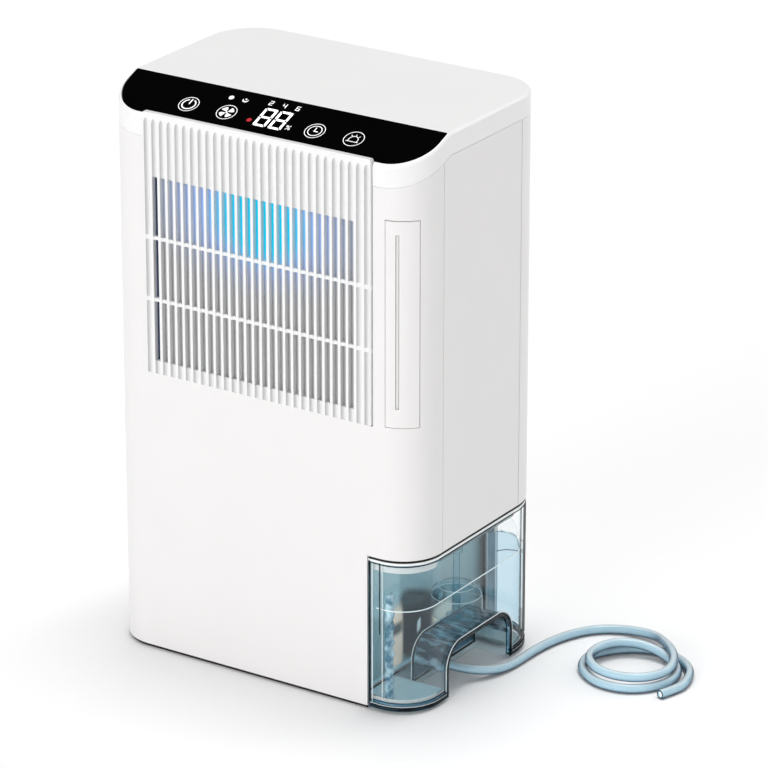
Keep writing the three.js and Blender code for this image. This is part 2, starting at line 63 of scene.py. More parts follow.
# ------------------------------------------------------------------ sizes, as in part.mjs (mm)
HALF_W, FRONT_Y, REAR_Y, TOP_Z = 121.0, -78.0, 79.5, 390.0
R_FRONT, R_REAR, WALL = 28.5, 34.0, 2.5
SLOPE_BACK, SLOPE_Z, SKIRT = -39.9, 374.7, 14.5
SLOPE_A = math.atan2(TOP_Z - SLOPE_Z, SLOPE_BACK - FRONT_Y)
TANK_WALL, BAY_X = 2.4, 74.6
ALCOVE = dict(y0=-37.0, y1=36.4, top=35.2, r=14.0, x=93.5)
WATER_Z = 71.6

# ------------------------------------------------------------------ camera
cam_data = bpy.data.cameras.new("camera")
cam_data.sensor_width = 36.0
cam_data.lens = 226.4
cam_data.clip_start, cam_data.clip_end = 0.05, 60.0
cam = bpy.data.objects.new("camera", cam_data)
COL.objects.link(cam)
az, el = rad(33.28989), rad(21.6931)
right = Vector((math.cos(az), math.sin(az), 0))
back = Vector((math.sin(az) * math.cos(el), -math.cos(az) * math.cos(el), math.sin(el)))
up = back.cross(right)
m = Matrix.Identity(4)
for i in range(3):
    m[i][0], m[i][1], m[i][2] = right[i], up[i], back[i]
m.translation = Vector((1.64746, -2.440252, 1.353755))
cam.matrix_world = m
SCENE.camera = cam

# ------------------------------------------------------------------ materials
def node(nt, kind, **kw):
    n = nt.nodes.new(kind)
    for k, v in kw.items():
        setattr(n, k, v)
    return n


def pm(name, color, rough=0.4, metallic=0.0, spec=0.5, ior=1.46, transmission=0.0, coat=0.0,
       var=0.03, scale=60.0, rough_var=0.05, bump=0.0, bump_scale=900.0, bump_depth=0.00005,
       stretch=(1, 1, 1), emission=None, emission_strength=0.0, tint=None, sheen=0.0):
    """Procedural plastic, metal or glass: colour and roughness drift with noise, fine bump on top."""
    mat = bpy.data.materials.new(name)
    mat.use_nodes = True
    nt = mat.node_tree
    b = nt.nodes["Principled BSDF"]
    b.inputs["Metallic"].default_value = metallic
    b.inputs["Specular IOR Level"].default_value = spec
    b.inputs["IOR"].default_value = ior
    b.inputs["Transmission Weight"].default_value = transmission
    b.inputs["Coat Weight"].default_value = coat
    if coat:
        b.inputs["Coat Roughness"].default_value = 0.06
    if sheen:
        b.inputs["Sheen Weight"].default_value = sheen
    tc = node(nt, "ShaderNodeTexCoord")
    mp = node(nt, "ShaderNodeMapping")
    mp.inputs["Scale"].default_value = stretch
    nt.links.new(tc.outputs["Object"], mp.inputs["Vector"])
    nz = node(nt, "ShaderNodeTexNoise")
    nz.inputs["Scale"].default_value = scale
    nz.inputs["Detail"].default_value = 4.0
    nt.links.new(mp.outputs["Vector"], nz.inputs["Vector"])
    ramp = node(nt, "ShaderNodeValToRGB")
    ramp.color_ramp.elements[0].position = 0.3
    ramp.color_ramp.elements[1].position = 0.7
    c2 = tint if tint is not None else tuple(min(1.0, c * (1 + var)) for c in color)
    ramp.color_ramp.elements[0].color = (*[c * (1 - var) for c in color], 1)
    ramp.color_ramp.elements[1].color = (*c2, 1)
    nt.links.new(nz.outputs["Fac"], ramp.inputs["Fac"])
    nt.links.new(ramp.outputs["Color"], b.inputs["Base Color"])
    mr = node(nt, "ShaderNodeMapRange")
    mr.inputs["To Min"].default_value = max(0.0, rough - rough_var)
    mr.inputs["To Max"].default_value = rough + rough_var
    nt.links.new(nz.outputs["Fac"], mr.inputs["Value"])
    nt.links.new(mr.outputs["Result"], b.inputs["Roughness"])
    if bump:
        n2 = node(nt, "ShaderNodeTexNoise")
        n2.inputs["Scale"].default_value = bump_scale
        n2.inputs["Detail"].default_value = 3.0
        nt.links.new(mp.outputs["Vector"], n2.inputs["Vector"])
        bp = node(nt, "ShaderNodeBump")
        bp.inputs["Strength"].default_value = bump
        bp.inputs["Distance"].default_value = bump_depth
        nt.links.new(n2.outputs["Fac"], bp.inputs["Height"])
        nt.links.new(bp.outputs["Normal"], b.inputs["Normal"])
    if emission is not None:
        b.inputs["Emission Color"].default_value = (*emission, 1)
        b.inputs["Emission Strength"].default_value = emission_strength
    return mat


def clear(name, face, side, edge, stops=(0.30, 0.62, 0.90), gloss=0.5, rough=0.02, scale=20.0, var=0.02, shine=1.0, under_shade=None):
    """Thin clear plastic: what is behind it shows through in its tint, deeper where the wall is seen edge on, with Fresnel gloss."""
    mat = bpy.data.materials.new(name)
    mat.use_nodes = True
    nt = mat.node_tree
    nt.nodes.clear()
    out = node(nt, "ShaderNodeOutputMaterial")
    lw = node(nt, "ShaderNodeLayerWeight")
    lw.inputs["Blend"].default_value = 0.5
    tc = node(nt, "ShaderNodeTexCoord")
    nz = node(nt, "ShaderNodeTexNoise")
    nz.inputs["Scale"].default_value = scale
    nz.inputs["Detail"].default_value = 3.0
    nt.links.new(tc.outputs["Object"], nz.inputs["Vector"])
    wob = node(nt, "ShaderNodeMapRange")
    wob.inputs["To Min"].default_value = -var
    wob.inputs["To Max"].default_value = var
    nt.links.new(nz.outputs["Fac"], wob.inputs["Value"])
    add = node(nt, "ShaderNodeMath", operation="ADD")
    nt.links.new(lw.outputs["Facing"], add.inputs[0])
    nt.links.new(wob.outputs["Result"], add.inputs[1])
    ramp = node(nt, "ShaderNodeValToRGB")
    ramp.color_ramp.interpolation = "LINEAR"
    els = ramp.color_ramp.elements
    els[0].position, els[0].color = stops[0], (*face, 1)
    els[1].position, els[1].color = stops[1], (*side, 1)
    e = els.new(stops[2])
    e.color = (*edge, 1)
    nt.links.new(add.outputs[0], ramp.inputs["Fac"])
    tr = node(nt, "ShaderNodeBsdfTransparent")
    tint = ramp.outputs["Color"]
    # painted shade: faces turned down are darkened towards the under_shade colour
    if under_shade is not None:
        sp = node(nt, "ShaderNodeSeparateXYZ")
        nt.links.new(tc.outputs["Normal"], sp.inputs["Vector"])
        low = node(nt, "ShaderNodeValToRGB")
        low.color_ramp.elements[0].position, low.color_ramp.elements[0].color = 0.12, (*under_shade, 1)
        low.color_ramp.elements[1].position, low.color_ramp.elements[1].color = 0.62, (1, 1, 1, 1)
        up = node(nt, "ShaderNodeMapRange")
        up.inputs["From Min"].default_value = -1.0
        up.inputs["From Max"].default_value = 1.0
        nt.links.new(sp.outputs["Z"], up.inputs["Value"])
        nt.links.new(up.outputs["Result"], low.inputs["Fac"])
        under_shade_mix = node(nt, "ShaderNodeMix", data_type="RGBA", blend_type="MULTIPLY")
        under_shade_mix.inputs["Factor"].default_value = 1.0
        nt.links.new(tint, under_shade_mix.inputs["A"])
        nt.links.new(low.outputs["Color"], under_shade_mix.inputs["B"])
        tint = under_shade_mix.outputs["Result"]
    nt.links.new(tint, tr.inputs["Color"])
    gl = node(nt, "ShaderNodeBsdfGlossy")
    gl.inputs["Roughness"].default_value = rough
    gl.inputs["Color"].default_value = (shine, shine, shine, 1)
    pw = node(nt, "ShaderNodeMath", operation="POWER")
    pw.inputs[1].default_value = 4.0
    nt.links.new(lw.outputs["Facing"], pw.inputs[0])
    ma = node(nt, "ShaderNodeMath", operation="MULTIPLY_ADD")
    ma.inputs[1].default_value = gloss
    ma.inputs[2].default_value = 0.02
    nt.links.new(pw.outputs[0], ma.inputs[0])
    mx = node(nt, "ShaderNodeMixShader")
    nt.links.new(ma.outputs[0], mx.inputs["Fac"])
    nt.links.new(tr.outputs["BSDF"], mx.inputs[1])
    nt.links.new(gl.outputs["BSDF"], mx.inputs[2])
    nt.links.new(mx.outputs["Shader"], out.inputs["Surface"])
    return mat


def milky(name, low, high, body, rough=0.2, scale=60.0, stretch=(1, 1, 1), split=(0.35, 0.65)):
    """Cloudy clear plastic: a lit surface mixed with plain see-through by the body factor, tone drifting between low and high."""
    mat = pm(name, low, rough=rough, scale=scale, stretch=stretch, tint=high, var=0.0)
    nt = mat.node_tree
    for n in nt.nodes:
        if n.bl_idname == "ShaderNodeValToRGB":
            n.color_ramp.elements[0].position, n.color_ramp.elements[1].position = split
    tr = node(nt, "ShaderNodeBsdfTransparent")
    mx = node(nt, "ShaderNodeMixShader")
    mx.inputs["Fac"].default_value = body
    nt.links.new(tr.outputs["BSDF"], mx.inputs[1])
    nt.links.new(nt.nodes["Principled BSDF"].outputs["BSDF"], mx.inputs[2])
    nt.links.new(mx.outputs["Shader"], nt.nodes["Material Output"].inputs["Surface"])
    return mat


def paint(mat, spots):
    """Soft patches of another tone on a Principled material, used for painted shade, painted reflections, a painted
    glint and painted glow: (y, z, ry, rz, slope, soft, colour, own light) in object space, mm.
    """
    nt = mat.node_tree
    b = nt.nodes["Principled BSDF"]
    src = b.inputs["Base Color"].links[0].from_socket
    tc = node(nt, "ShaderNodeTexCoord")
    sp = node(nt, "ShaderNodeSeparateXYZ")
    nt.links.new(tc.outputs["Object"], sp.inputs["Vector"])

    def m(op, a, c=None):
        n = node(nt, "ShaderNodeMath", operation=op)
        for k, v in enumerate((a, c)):
            if isinstance(v, (int, float)):
                n.inputs[k].default_value = v
            elif v is not None:
                nt.links.new(v, n.inputs[k])
        return n.outputs[0]

    # own light adds up here as painted glow, fed into the emission
    lit = None
    for y, z, ry, rz, slope, soft, color, shine in spots:
        dy = m("SUBTRACT", sp.outputs["Y"], y * MM)
        dz = m("SUBTRACT", m("SUBTRACT", sp.outputs["Z"], z * MM), m("MULTIPLY", dy, slope))
        qy = m("POWER", m("ABSOLUTE", m("DIVIDE", dy, ry * MM)), 4.0)
        qz = m("POWER", m("ABSOLUTE", m("DIVIDE", dz, rz * MM)), 4.0)
        d = m("POWER", m("ADD", qy, qz), 0.25)
        mr = node(nt, "ShaderNodeMapRange", interpolation_type="SMOOTHSTEP")
        mr.inputs["From Min"].default_value = 1 + soft
        mr.inputs["From Max"].default_value = 1 - soft
        nt.links.new(d, mr.inputs["Value"])
        mx = node(nt, "ShaderNodeMix", data_type="RGBA")
        nt.links.new(mr.outputs["Result"], mx.inputs["Factor"])
        nt.links.new(src, mx.inputs["A"])
        mx.inputs["B"].default_value = (*color, 1)
        src = mx.outputs["Result"]
        ml = node(nt, "ShaderNodeMix", data_type="RGBA")
        nt.links.new(mr.outputs["Result"], ml.inputs["Factor"])
        if lit is None:
            ml.inputs["A"].default_value = (0, 0, 0, 1)
        else:
            nt.links.new(lit, ml.inputs["A"])
        ml.inputs["B"].default_value = (*[c * shine for c in color], 1)
        lit = ml.outputs["Result"]
    nt.links.new(src, b.inputs["Base Color"])
    nt.links.new(lit, b.inputs["Emission Color"])
    b.inputs["Emission Strength"].default_value = 1.0


M = {
    "white_casing": pm("white_casing", (0.80, 0.788, 0.785), rough=0.32, var=0.006, scale=25, rough_var=0.03, bump=0.08, bump_scale=1400),
    "white_grille": pm("white_grille", (0.83, 0.83, 0.83), rough=0.30, var=0.006, scale=25, rough_var=0.03, bump=0.05, bump_scale=1400),
    "black_fascia": pm("black_fascia", (0.0008, 0.0008, 0.0009), rough=0.45, spec=0.005, var=0.3, scale=18, rough_var=0.03),
    "base_grey": pm("base_grey", (0.60, 0.62, 0.63), rough=0.55, var=0.03, scale=120, bump=0.3, bump_scale=1800, bump_depth=0.0001),
    "rubber": pm("rubber", (0.02, 0.02, 0.02), rough=0.85, var=0.2, scale=200, bump=0.5, bump_scale=1500, bump_depth=0.0001, spec=0.3),
    # liner_white: the white bay liner is given a dark teal-grey here, painted shade and tank tint for how it looks
    # behind the tank
    "liner_white": pm("liner_white", (0.44, 0.62, 0.66), rough=0.5, var=0.02, scale=40, bump=0.2, bump_scale=900),
    "float_foam": clear("float_foam", (0.86, 0.93, 0.95), (0.78, 0.88, 0.92), (0.22, 0.36, 0.45), stops=(0.40, 0.66, 0.92), gloss=0.7, rough=0.12, scale=90),
    "magnet": pm("magnet", (0.32, 0.42, 0.48), rough=0.35, metallic=0.8, var=0.1, scale=300),
    "fitting": clear("fitting", (0.88, 0.95, 0.97), (0.76, 0.88, 0.93), (0.05, 0.10, 0.14), stops=(0.30, 0.58, 0.84), gloss=0.4, rough=0.05, scale=80),
    "aluminium": pm("aluminium", (0.66, 0.67, 0.69), rough=0.34, metallic=1.0, var=0.06, scale=60, stretch=(1, 1, 14), rough_var=0.1, bump=0.3, bump_scale=400),
    "ceramic": pm("ceramic", (0.84, 0.83, 0.79), rough=0.55, var=0.03, scale=200, bump=0.3, bump_scale=2000),
    "foam": pm("foam", (0.028, 0.028, 0.032), rough=0.95, var=0.4, scale=900, bump=0.9, bump_scale=1500, bump_depth=0.0003),
    "fan_black": pm("fan_black", (0.016, 0.016, 0.018), rough=0.45, var=0.2, scale=80, bump=0.3, bump_scale=1300),
    "pcb": pm("pcb", (0.012, 0.10, 0.045), rough=0.42, var=0.35, scale=260, coat=0.3, bump=0.3, bump_scale=700, bump_depth=0.0001),
    "lens": pm("lens", (0.83, 0.83, 0.82), rough=0.35, var=0.01, scale=40, transmission=0.15),
    "steel": pm("steel", (0.62, 0.62, 0.63), rough=0.3, metallic=1.0, var=0.06, scale=400, bump=0.2, bump_scale=900),
}


# ------------------------------------------------------------------ mesh helpers
def shade(bm, angle=34.0):
    lim = rad(angle)
    for e in bm.edges:
        e.smooth = not (len(e.link_faces) == 2 and e.calc_face_angle(0.0) > lim)
    for f in bm.faces:
        f.smooth = True


def put(name, bm, mat, body, replaces=(), angle=34.0, weighted=False):
    shade(bm, angle)
    me = bpy.data.meshes.new(name)
    bm.to_mesh(me)
    bm.free()
    ob = bpy.data.objects.new(name, me)
    COL.objects.link(ob)
    for x in (mat if isinstance(mat, (list, tuple)) else [mat]):
        me.materials.append(x)
    if weighted:
        w = ob.modifiers.new("weighted", "WEIGHTED_NORMAL")
        w.keep_sharp = True
        w.weight = 80
    if body:
        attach(ob, body)
    if replaces:
        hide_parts(*replaces)
    return ob


def temp(bm, name="tmp"):
    me = bpy.data.meshes.new(name)
    bm.to_mesh(me)
    bm.free()
    ob = bpy.data.objects.new(name, me)
    COL.objects.link(ob)
    return ob


def evaluated(ob):
    bpy.context.view_layer.update()
    dg = bpy.context.evaluated_depsgraph_get()
    bm = bmesh.new()
    bm.from_mesh(ob.evaluated_get(dg).to_mesh())
    ob.evaluated_get(dg).to_mesh_clear()
    return bm


def drop(*obs):
    for o in obs:
        me = o.data
        bpy.data.objects.remove(o)
        if me.users == 0:
            bpy.data.meshes.remove(me)


def boolean(bm_a, bm_b, op="DIFFERENCE"):
    a, b = temp(bm_a, "tmp_a"), temp(bm_b, "tmp_b")
    md = a.modifiers.new("bool", "BOOLEAN")
    md.operation, md.object, md.solver = op, b, "EXACT"
    out = evaluated(a)
    drop(a, b)
    return out


def solid_of(cad, limit=1.0):
    bm = bmesh.new()
    bm.from_mesh(NODES[cad].data)
    bmesh.ops.remove_doubles(bm, verts=bm.verts, dist=2e-6)
    bmesh.ops.dissolve_limit(bm, angle_limit=rad(limit), verts=bm.verts, edges=bm.edges)
    bmesh.ops.recalc_face_normals(bm, faces=bm.faces)
    return bm


def soften(bm, width, segs=2, angle=32.0, where=None):
    es = [e for e in bm.edges if len(e.link_faces) == 2 and e.is_convex and e.calc_face_angle(0.0) > rad(angle)
          and e.calc_length() > 1e-5 and (where is None or where(e))]
    if es:
        bmesh.ops.bevel(bm, geom=es, offset=width * MM, offset_type="OFFSET", segments=segs, profile=0.5,
                        affect="EDGES", clamp_overlap=True, miter_outer="ARC", miter_inner="SHARP")
    return bm


def refined(cad, mat, width=0.4, segs=2, angle=32.0, where=None):
    bm = soften(solid_of(cad), width, segs, angle, where)
    return put("v_" + cad, bm, mat, NODES[cad]["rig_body"], [cad], weighted=True)


def outline(inset=0.0, seg=24):
    x, y0, y1 = HALF_W - inset, FRONT_Y + inset, REAR_Y - inset
    rf, rr = R_FRONT - inset, R_REAR - inset
    pts = []
    for cx, cy, r, a0 in ((x - rf, y0 + rf, rf, -90), (x - rr, y1 - rr, rr, 0), (-x + rr, y1 - rr, rr, 90), (-x + rf, y0 + rf, rf, 180)):
        for i in range(seg + 1):
            a = rad(a0 + 90 * i / seg)
            pts.append((cx + r * math.cos(a), cy + r * math.sin(a)))
    return pts


def loft(rings, caps=True, closed=True):
    """Rings of (x, y, z) in mm, same count each, joined into one skin."""
    bm = bmesh.new()
    vs = [[bm.verts.new((p[0] * MM, p[1] * MM, p[2] * MM)) for p in r] for r in rings]
    n = len(rings[0])
    for a, b in zip(vs, vs[1:]):
        for i in range(n if closed else n - 1):
            j = (i + 1) % n
            bm.faces.new((a[i], a[j], b[j], b[i]))
    if caps:
        bm.faces.new(list(reversed(vs[0])))
        bm.faces.new(vs[-1])
    bmesh.ops.recalc_face_normals(bm, faces=bm.faces)
    return bm


def prism(points, z0, z1):
    return loft([[(x, y, z0) for x, y in points], [(x, y, z1) for x, y in points]])


def box(x0, x1, y0, y1, z0, z1):
    return prism([(x0, y0), (x1, y0), (x1, y1), (x0, y1)], z0, z1)


def merge(*bms):
    out = bmesh.new()
    for b in bms:
        me = bpy.data.meshes.new("m")
        b.to_mesh(me)
        b.free()
        out.from_mesh(me)
        bpy.data.meshes.remove(me)
    return out


# ------------------------------------------------------------------ drain hose (its route follows part.mjs, drawn in to the line seen in the photo)
HOSE = [(97.30, -13.70, 12.00), (102.70, -12.70, 11.50), (107.80, -11.00, 10.70), (112.60, -8.50, 9.60), (116.80, -5.30, 8.50), (120.50, -1.40, 7.40), (123.50, 3.10, 6.30), (125.80, 8.00, 5.29), (127.50, 13.20, 4.38), (128.60, 18.50, 3.77), (129.30, 23.90, 3.36), (129.70, 29.40, 3.15), (129.90, 34.90, 3.15), (130.00, 40.30, 3.15), (130.10, 45.80, 3.15), (130.20, 51.30, 3.25), (130.68, 56.76, 3.25), (131.27, 62.21, 3.25), (132.07, 67.62, 3.25), (133.13, 72.99, 3.25), (134.50, 78.30, 3.24), (136.19, 83.53, 3.23), (138.21, 88.65, 3.21), (140.61, 93.60, 3.18), (143.48, 98.26, 3.16), (146.91, 102.49, 3.15), (150.89, 106.19, 3.16), (155.35, 109.31, 3.20), (160.20, 111.76, 3.29), (165.33, 113.43, 3.48), (170.64, 114.28, 3.78), (176.06, 114.37, 4.19), (181.50, 113.96, 4.67), (186.70, 112.10, 5.38), (191.52, 109.46, 6.23), (195.89, 106.13, 7.20), (200.00, 102.47, 8.16), (204.08, 98.76, 9.00), (208.12, 94.97, 9.73), (212.01, 91.01, 10.31), (215.71, 86.84, 10.68), (219.18, 82.47, 10.73), (222.21, 77.80, 10.63), (224.63, 72.77, 10.48), (226.35, 67.49, 10.27), (227.01, 61.97, 10.11), (226.55, 56.44, 10.01), (224.81, 51.17, 9.93), (221.81, 46.50, 9.87), (217.95, 42.51, 9.83), (213.34, 39.40, 9.81), (208.19, 37.30, 9.80), (202.75, 36.12, 9.81), (197.19, 35.96, 9.86), (191.69, 36.78, 9.95), (186.45, 38.64, 10.04), (181.72, 41.56, 10.13), (177.59, 45.28, 10.22), (174.35, 49.78, 10.27), (172.27, 54.93, 10.29), (171.26, 60.39, 10.28), (171.40, 65.94, 10.27), (172.74, 71.34, 10.27), (175.05, 76.39, 10.22), (178.39, 80.81, 10.05), (182.68, 84.33, 9.78), (187.50, 87.08, 9.32), (192.63, 89.09, 8.49), (197.96, 90.20, 7.36), (203.41, 90.22, 6.25), (208.78, 89.17, 5.26), (213.93, 87.26, 4.38), (218.69, 84.46, 3.71), (222.81, 80.75, 3.36), (225.99, 76.21, 3.20), (228.02, 71.03, 3.11), (229.05, 65.57, 3.12), (229.14, 60.01, 3.14), (228.07, 54.55, 3.15), (226.02, 49.37, 3.15), (223.22, 44.56, 3.15), (219.60, 40.35, 3.15), (215.23, 36.91, 3.15), (210.31, 34.32, 3.15), (204.98, 32.71, 3.15), (199.45, 32.11, 3.15), (193.90, 32.43, 3.15), (188.51, 33.82, 3.15), (183.45, 36.14, 3.15), (178.73, 39.10, 3.15), (174.43, 42.64, 3.15), (170.79, 46.85, 3.15), (168.06, 51.69, 3.15), (166.23, 56.94, 3.15), (165.39, 62.43, 3.15), (166.05, 67.92, 3.15), (168.18, 73.05, 3.15), (171.06, 77.82, 3.15), (174.39, 82.30, 3.15), (178.18, 86.38, 3.15), (182.48, 89.93, 3.15), (187.24, 92.82, 3.15), (192.35, 95.04, 3.15), (197.75, 96.35, 3.15), (203.31, 96.55, 3.15), (208.84, 95.83, 3.15), (214.21, 94.35, 3.15), (219.33, 92.15, 3.15), (224.07, 89.22, 3.15), (228.32, 85.62, 3.15), (231.99, 81.44, 3.15), (234.91, 76.70, 3.15), (237.05, 71.55, 3.15), (238.62, 66.20, 3.15), (239.58, 60.72, 3.15), (239.41, 55.18, 3.15), (238.02, 49.79, 3.15), (236.38, 44.45, 3.15), (234.42, 39.22, 3.15)]


def spline(points, sub):
    """Catmull-Rom through the points, sub steps a span."""
    ps = [Vector(p) for p in points]
    ps = [2 * ps[0] - ps[1]] + ps + [2 * ps[-1] - ps[-2]]
    out = []
    for i in range(1, len(ps) - 2):
        a, b, c, d = ps[i - 1:i + 3]
        for k in range(sub):
            t = k / sub
            out.append(0.5 * ((2 * b) + (c - a) * t + (2 * a - 5 * b + 4 * c - d) * t * t + (3 * b - a - 3 * c + d) * t ** 3))
    out.append(ps[-2])
    return out


def sweep_tube(path, r_out, r_in, sides=20):
    """A hollow tube along the path (mm), with rounded lips."""
    rings_o, rings_i = [], []
    t0 = (path[1] - path[0]).normalized()
    u = t0.cross(Vector((0, 0, 1))).normalized()
    n = len(path)
    for i, p in enumerate(path):
        t = (path[min(i + 1, n - 1)] - path[max(i - 1, 0)]).normalized()
        u = (u - t * u.dot(t)).normalized()
        w = t.cross(u)
        for rs, r in ((rings_o, r_out), (rings_i, r_in)):
            rs.append([p + u * (r * math.cos(2 * math.pi * k / sides)) + w * (r * math.sin(2 * math.pi * k / sides)) for k in range(sides)])
    lip = (r_out - r_in) / 2

    def mid(o, i, push):
        return [(a + b) / 2 + push * lip * 0.55 for a, b in zip(o, i)]
    tl = (path[-1] - path[-2]).normalized()
    rings = rings_o + [mid(rings_o[-1], rings_i[-1], tl)] + rings_i[::-1] + [mid(rings_o[0], rings_i[0], -t0)]
    bm = bmesh.new()
    vs = [[bm.verts.new(p * MM) for p in r] for r in rings]
    for a, b in zip(vs, vs[1:] + vs[:1]):
        for k in range(sides):
            j = (k + 1) % sides
            bm.faces.new((a[k], a[j], b[j], b[k]))
    bmesh.ops.recalc_face_normals(bm, faces=bm.faces)
    return bm


def hose_plastic(name):
    """Clear blue hose: pale where the wall faces out, dark in a thin line along its sides, with painted shade
    underneath and a painted highlight on top.
    """
    mat = pm(name, (0.5, 0.7, 0.8), rough=0.16, spec=0.35, var=0.0)
    nt = mat.node_tree
    b = nt.nodes["Principled BSDF"]
    lw = node(nt, "ShaderNodeLayerWeight")
    lw.inputs["Blend"].default_value = 0.5
    ramp = node(nt, "ShaderNodeValToRGB")
    els = ramp.color_ramp.elements
    els[0].position, els[0].color = 0.0, (0.52, 0.76, 0.88, 1)
    els[1].position, els[1].color = 1.0, (0.02, 0.035, 0.05, 1)
    for where, c in ((0.36, (0.52, 0.75, 0.87)), (0.54, (0.35, 0.55, 0.68)), (0.67, (0.12, 0.21, 0.29)), (0.80, (0.03, 0.055, 0.08))):
        els.new(where).color = (*c, 1)
    nt.links.new(lw.outputs["Facing"], ramp.inputs["Fac"])
    tc = node(nt, "ShaderNodeTexCoord")
    sp = node(nt, "ShaderNodeSeparateXYZ")
    nt.links.new(tc.outputs["Normal"], sp.inputs["Vector"])
    up = node(nt, "ShaderNodeMapRange")
    up.inputs["From Min"].default_value = -1.0
    nt.links.new(sp.outputs["Z"], up.inputs["Value"])
    # painted shade: faces turned down are darkened
    low = node(nt, "ShaderNodeValToRGB")
    low.color_ramp.elements[0].position, low.color_ramp.elements[0].color = 0.16, (0.10, 0.13, 0.17, 1)
    low.color_ramp.elements[1].position, low.color_ramp.elements[1].color = 0.52, (1, 1, 1, 1)
    low.color_ramp.elements.new(0.34).color = (0.62, 0.68, 0.74, 1)
    nt.links.new(up.outputs["Result"], low.inputs["Fac"])
    under_shade_mix = node(nt, "ShaderNodeMix", data_type="RGBA", blend_type="MULTIPLY")
    under_shade_mix.inputs["Factor"].default_value = 1.0
    nt.links.new(ramp.outputs["Color"], under_shade_mix.inputs["A"])
    nt.links.new(low.outputs["Color"], under_shade_mix.inputs["B"])
    # painted highlight: faces turned up are mixed towards a pale blue
    top = node(nt, "ShaderNodeMapRange", interpolation_type="SMOOTHSTEP")
    top.inputs["From Min"].default_value = 0.86
    top.inputs["From Max"].default_value = 0.97
    top.inputs["To Max"].default_value = 0.75
    nt.links.new(up.outputs["Result"], top.inputs["Value"])
    top_highlight = node(nt, "ShaderNodeMix", data_type="RGBA")
    nt.links.new(top.outputs["Result"], top_highlight.inputs["Factor"])
    nt.links.new(under_shade_mix.outputs["Result"], top_highlight.inputs["A"])
    top_highlight.inputs["B"].default_value = (0.80, 0.91, 0.96, 1)
    nz = node(nt, "ShaderNodeTexNoise")
    nz.inputs["Scale"].default_value = 45.0
    nt.links.new(tc.outputs["Object"], nz.inputs["Vector"])
    drift = node(nt, "ShaderNodeMapRange")
    drift.inputs["To Min"].default_value = 0.86
    drift.inputs["To Max"].default_value = 1.06
    nt.links.new(nz.outputs["Fac"], drift.inputs["Value"])
    fin = node(nt, "ShaderNodeVectorMath", operation="SCALE")
    nt.links.new(top_highlight.outputs["Result"], fin.inputs[0])
    nt.links.new(drift.outputs["Result"], fin.inputs["Scale"])
    nt.links.new(fin.outputs["Vector"], b.inputs["Base Color"])
    tr = node(nt, "ShaderNodeBsdfTransparent")
    tr.inputs["Color"].default_value = (0.80, 0.92, 0.98, 1)
    mx = node(nt, "ShaderNodeMixShader")
    mx.inputs["Fac"].default_value = 0.80
    nt.links.new(tr.outputs["BSDF"], mx.inputs[1])
    nt.links.new(b.outputs["BSDF"], mx.inputs[2])
    nt.links.new(mx.outputs["Shader"], nt.nodes["Material Output"].inputs["Surface"])
    return mat


M["hose_clear"] = hose_plastic("hose_clear")
hose_path = spline(HOSE, 3)
hose = put("hose", sweep_tube(hose_path, 3.1, 2.0, 24), M["hose_clear"], "tank", ["drain_hose", "drain_hose_coil"], angle=60)

tip, along = hose_path[-1], (hose_path[-1] - hose_path[-2]).normalized()
side_u = along.cross(Vector((0, 0, 1))).normalized()
side_v = along.cross(side_u)
bm = bmesh.new()
rings = [[bm.verts.new((tip + along * d_ + side_u * (r_ * math.cos(2 * math.pi * k / 28)) + side_v * (r_ * math.sin(2 * math.pi * k / 28))) * MM) for k in range(28)]
         for d_, r_ in ((-1.5, 1.96), (-0.8, 1.96))]
for k in range(28):
    bm.faces.new((rings[0][k], rings[0][(k + 1) % 28], rings[1][(k + 1) % 28], rings[1][k]))
bm.faces.new(rings[0][::-1])
bm.faces.new(rings[1])
bmesh.ops.recalc_face_normals(bm, faces=bm.faces)
# the bore disc glows a little: painted light, so the open end of the hose reads pale
M["hose_bore_glow"] = pm("hose_bore_glow", (0.84, 0.90, 0.93), rough=0.3, var=0.02, scale=300, emission=(0.85, 0.92, 0.95), emission_strength=0.35)
put("hose_bore_glow", bm, M["hose_bore_glow"], "tank", (), angle=50)
bm = bmesh.new()
rings = []
for k in range(28):
    out_ = side_u * math.cos(2 * math.pi * k / 28) + side_v * math.sin(2 * math.pi * k / 28)
    rings.append([bm.verts.new((tip + out_ * (2.62 + 0.5 * math.cos(q * math.pi / 4)) + along * 0.5 * math.sin(q * math.pi / 4)) * MM) for q in range(8)])
for k in range(28):
    for q in range(8):
        bm.faces.new((rings[k][q], rings[(k + 1) % 28][q], rings[(k + 1) % 28][(q + 1) % 8], rings[k][(q + 1) % 8]))
bmesh.ops.recalc_face_normals(bm, faces=bm.faces)
M["hose_rim"] = pm("hose_rim", (0.05, 0.08, 0.11), rough=0.25, var=0.2, scale=200)
put("hose_rim", bm, M["hose_rim"], "tank", (), angle=60)


# ------------------------------------------------------------------ casing shells
for cad in ("front_shell", "left_side_panel", "right_side_panel", "rear_cover"):
    refined(cad, M["white_casing"], 0.4, 2)
refined("corner_light_bezel", M["white_casing"], 0.5, 3)


def top_surface(y):
    """Height of the top cover's surface, with the crease between slope and flat eased over 2.4 mm."""
    k = (TOP_Z - SLOPE_Z) / (SLOPE_BACK - FRONT_Y)
    e = 1.2
    d = y - SLOPE_BACK
    if d <= -e:
        return TOP_Z + k * d
    if d >= e:
        return TOP_Z
    return TOP_Z - k * (e - d) ** 2 / (4 * e)


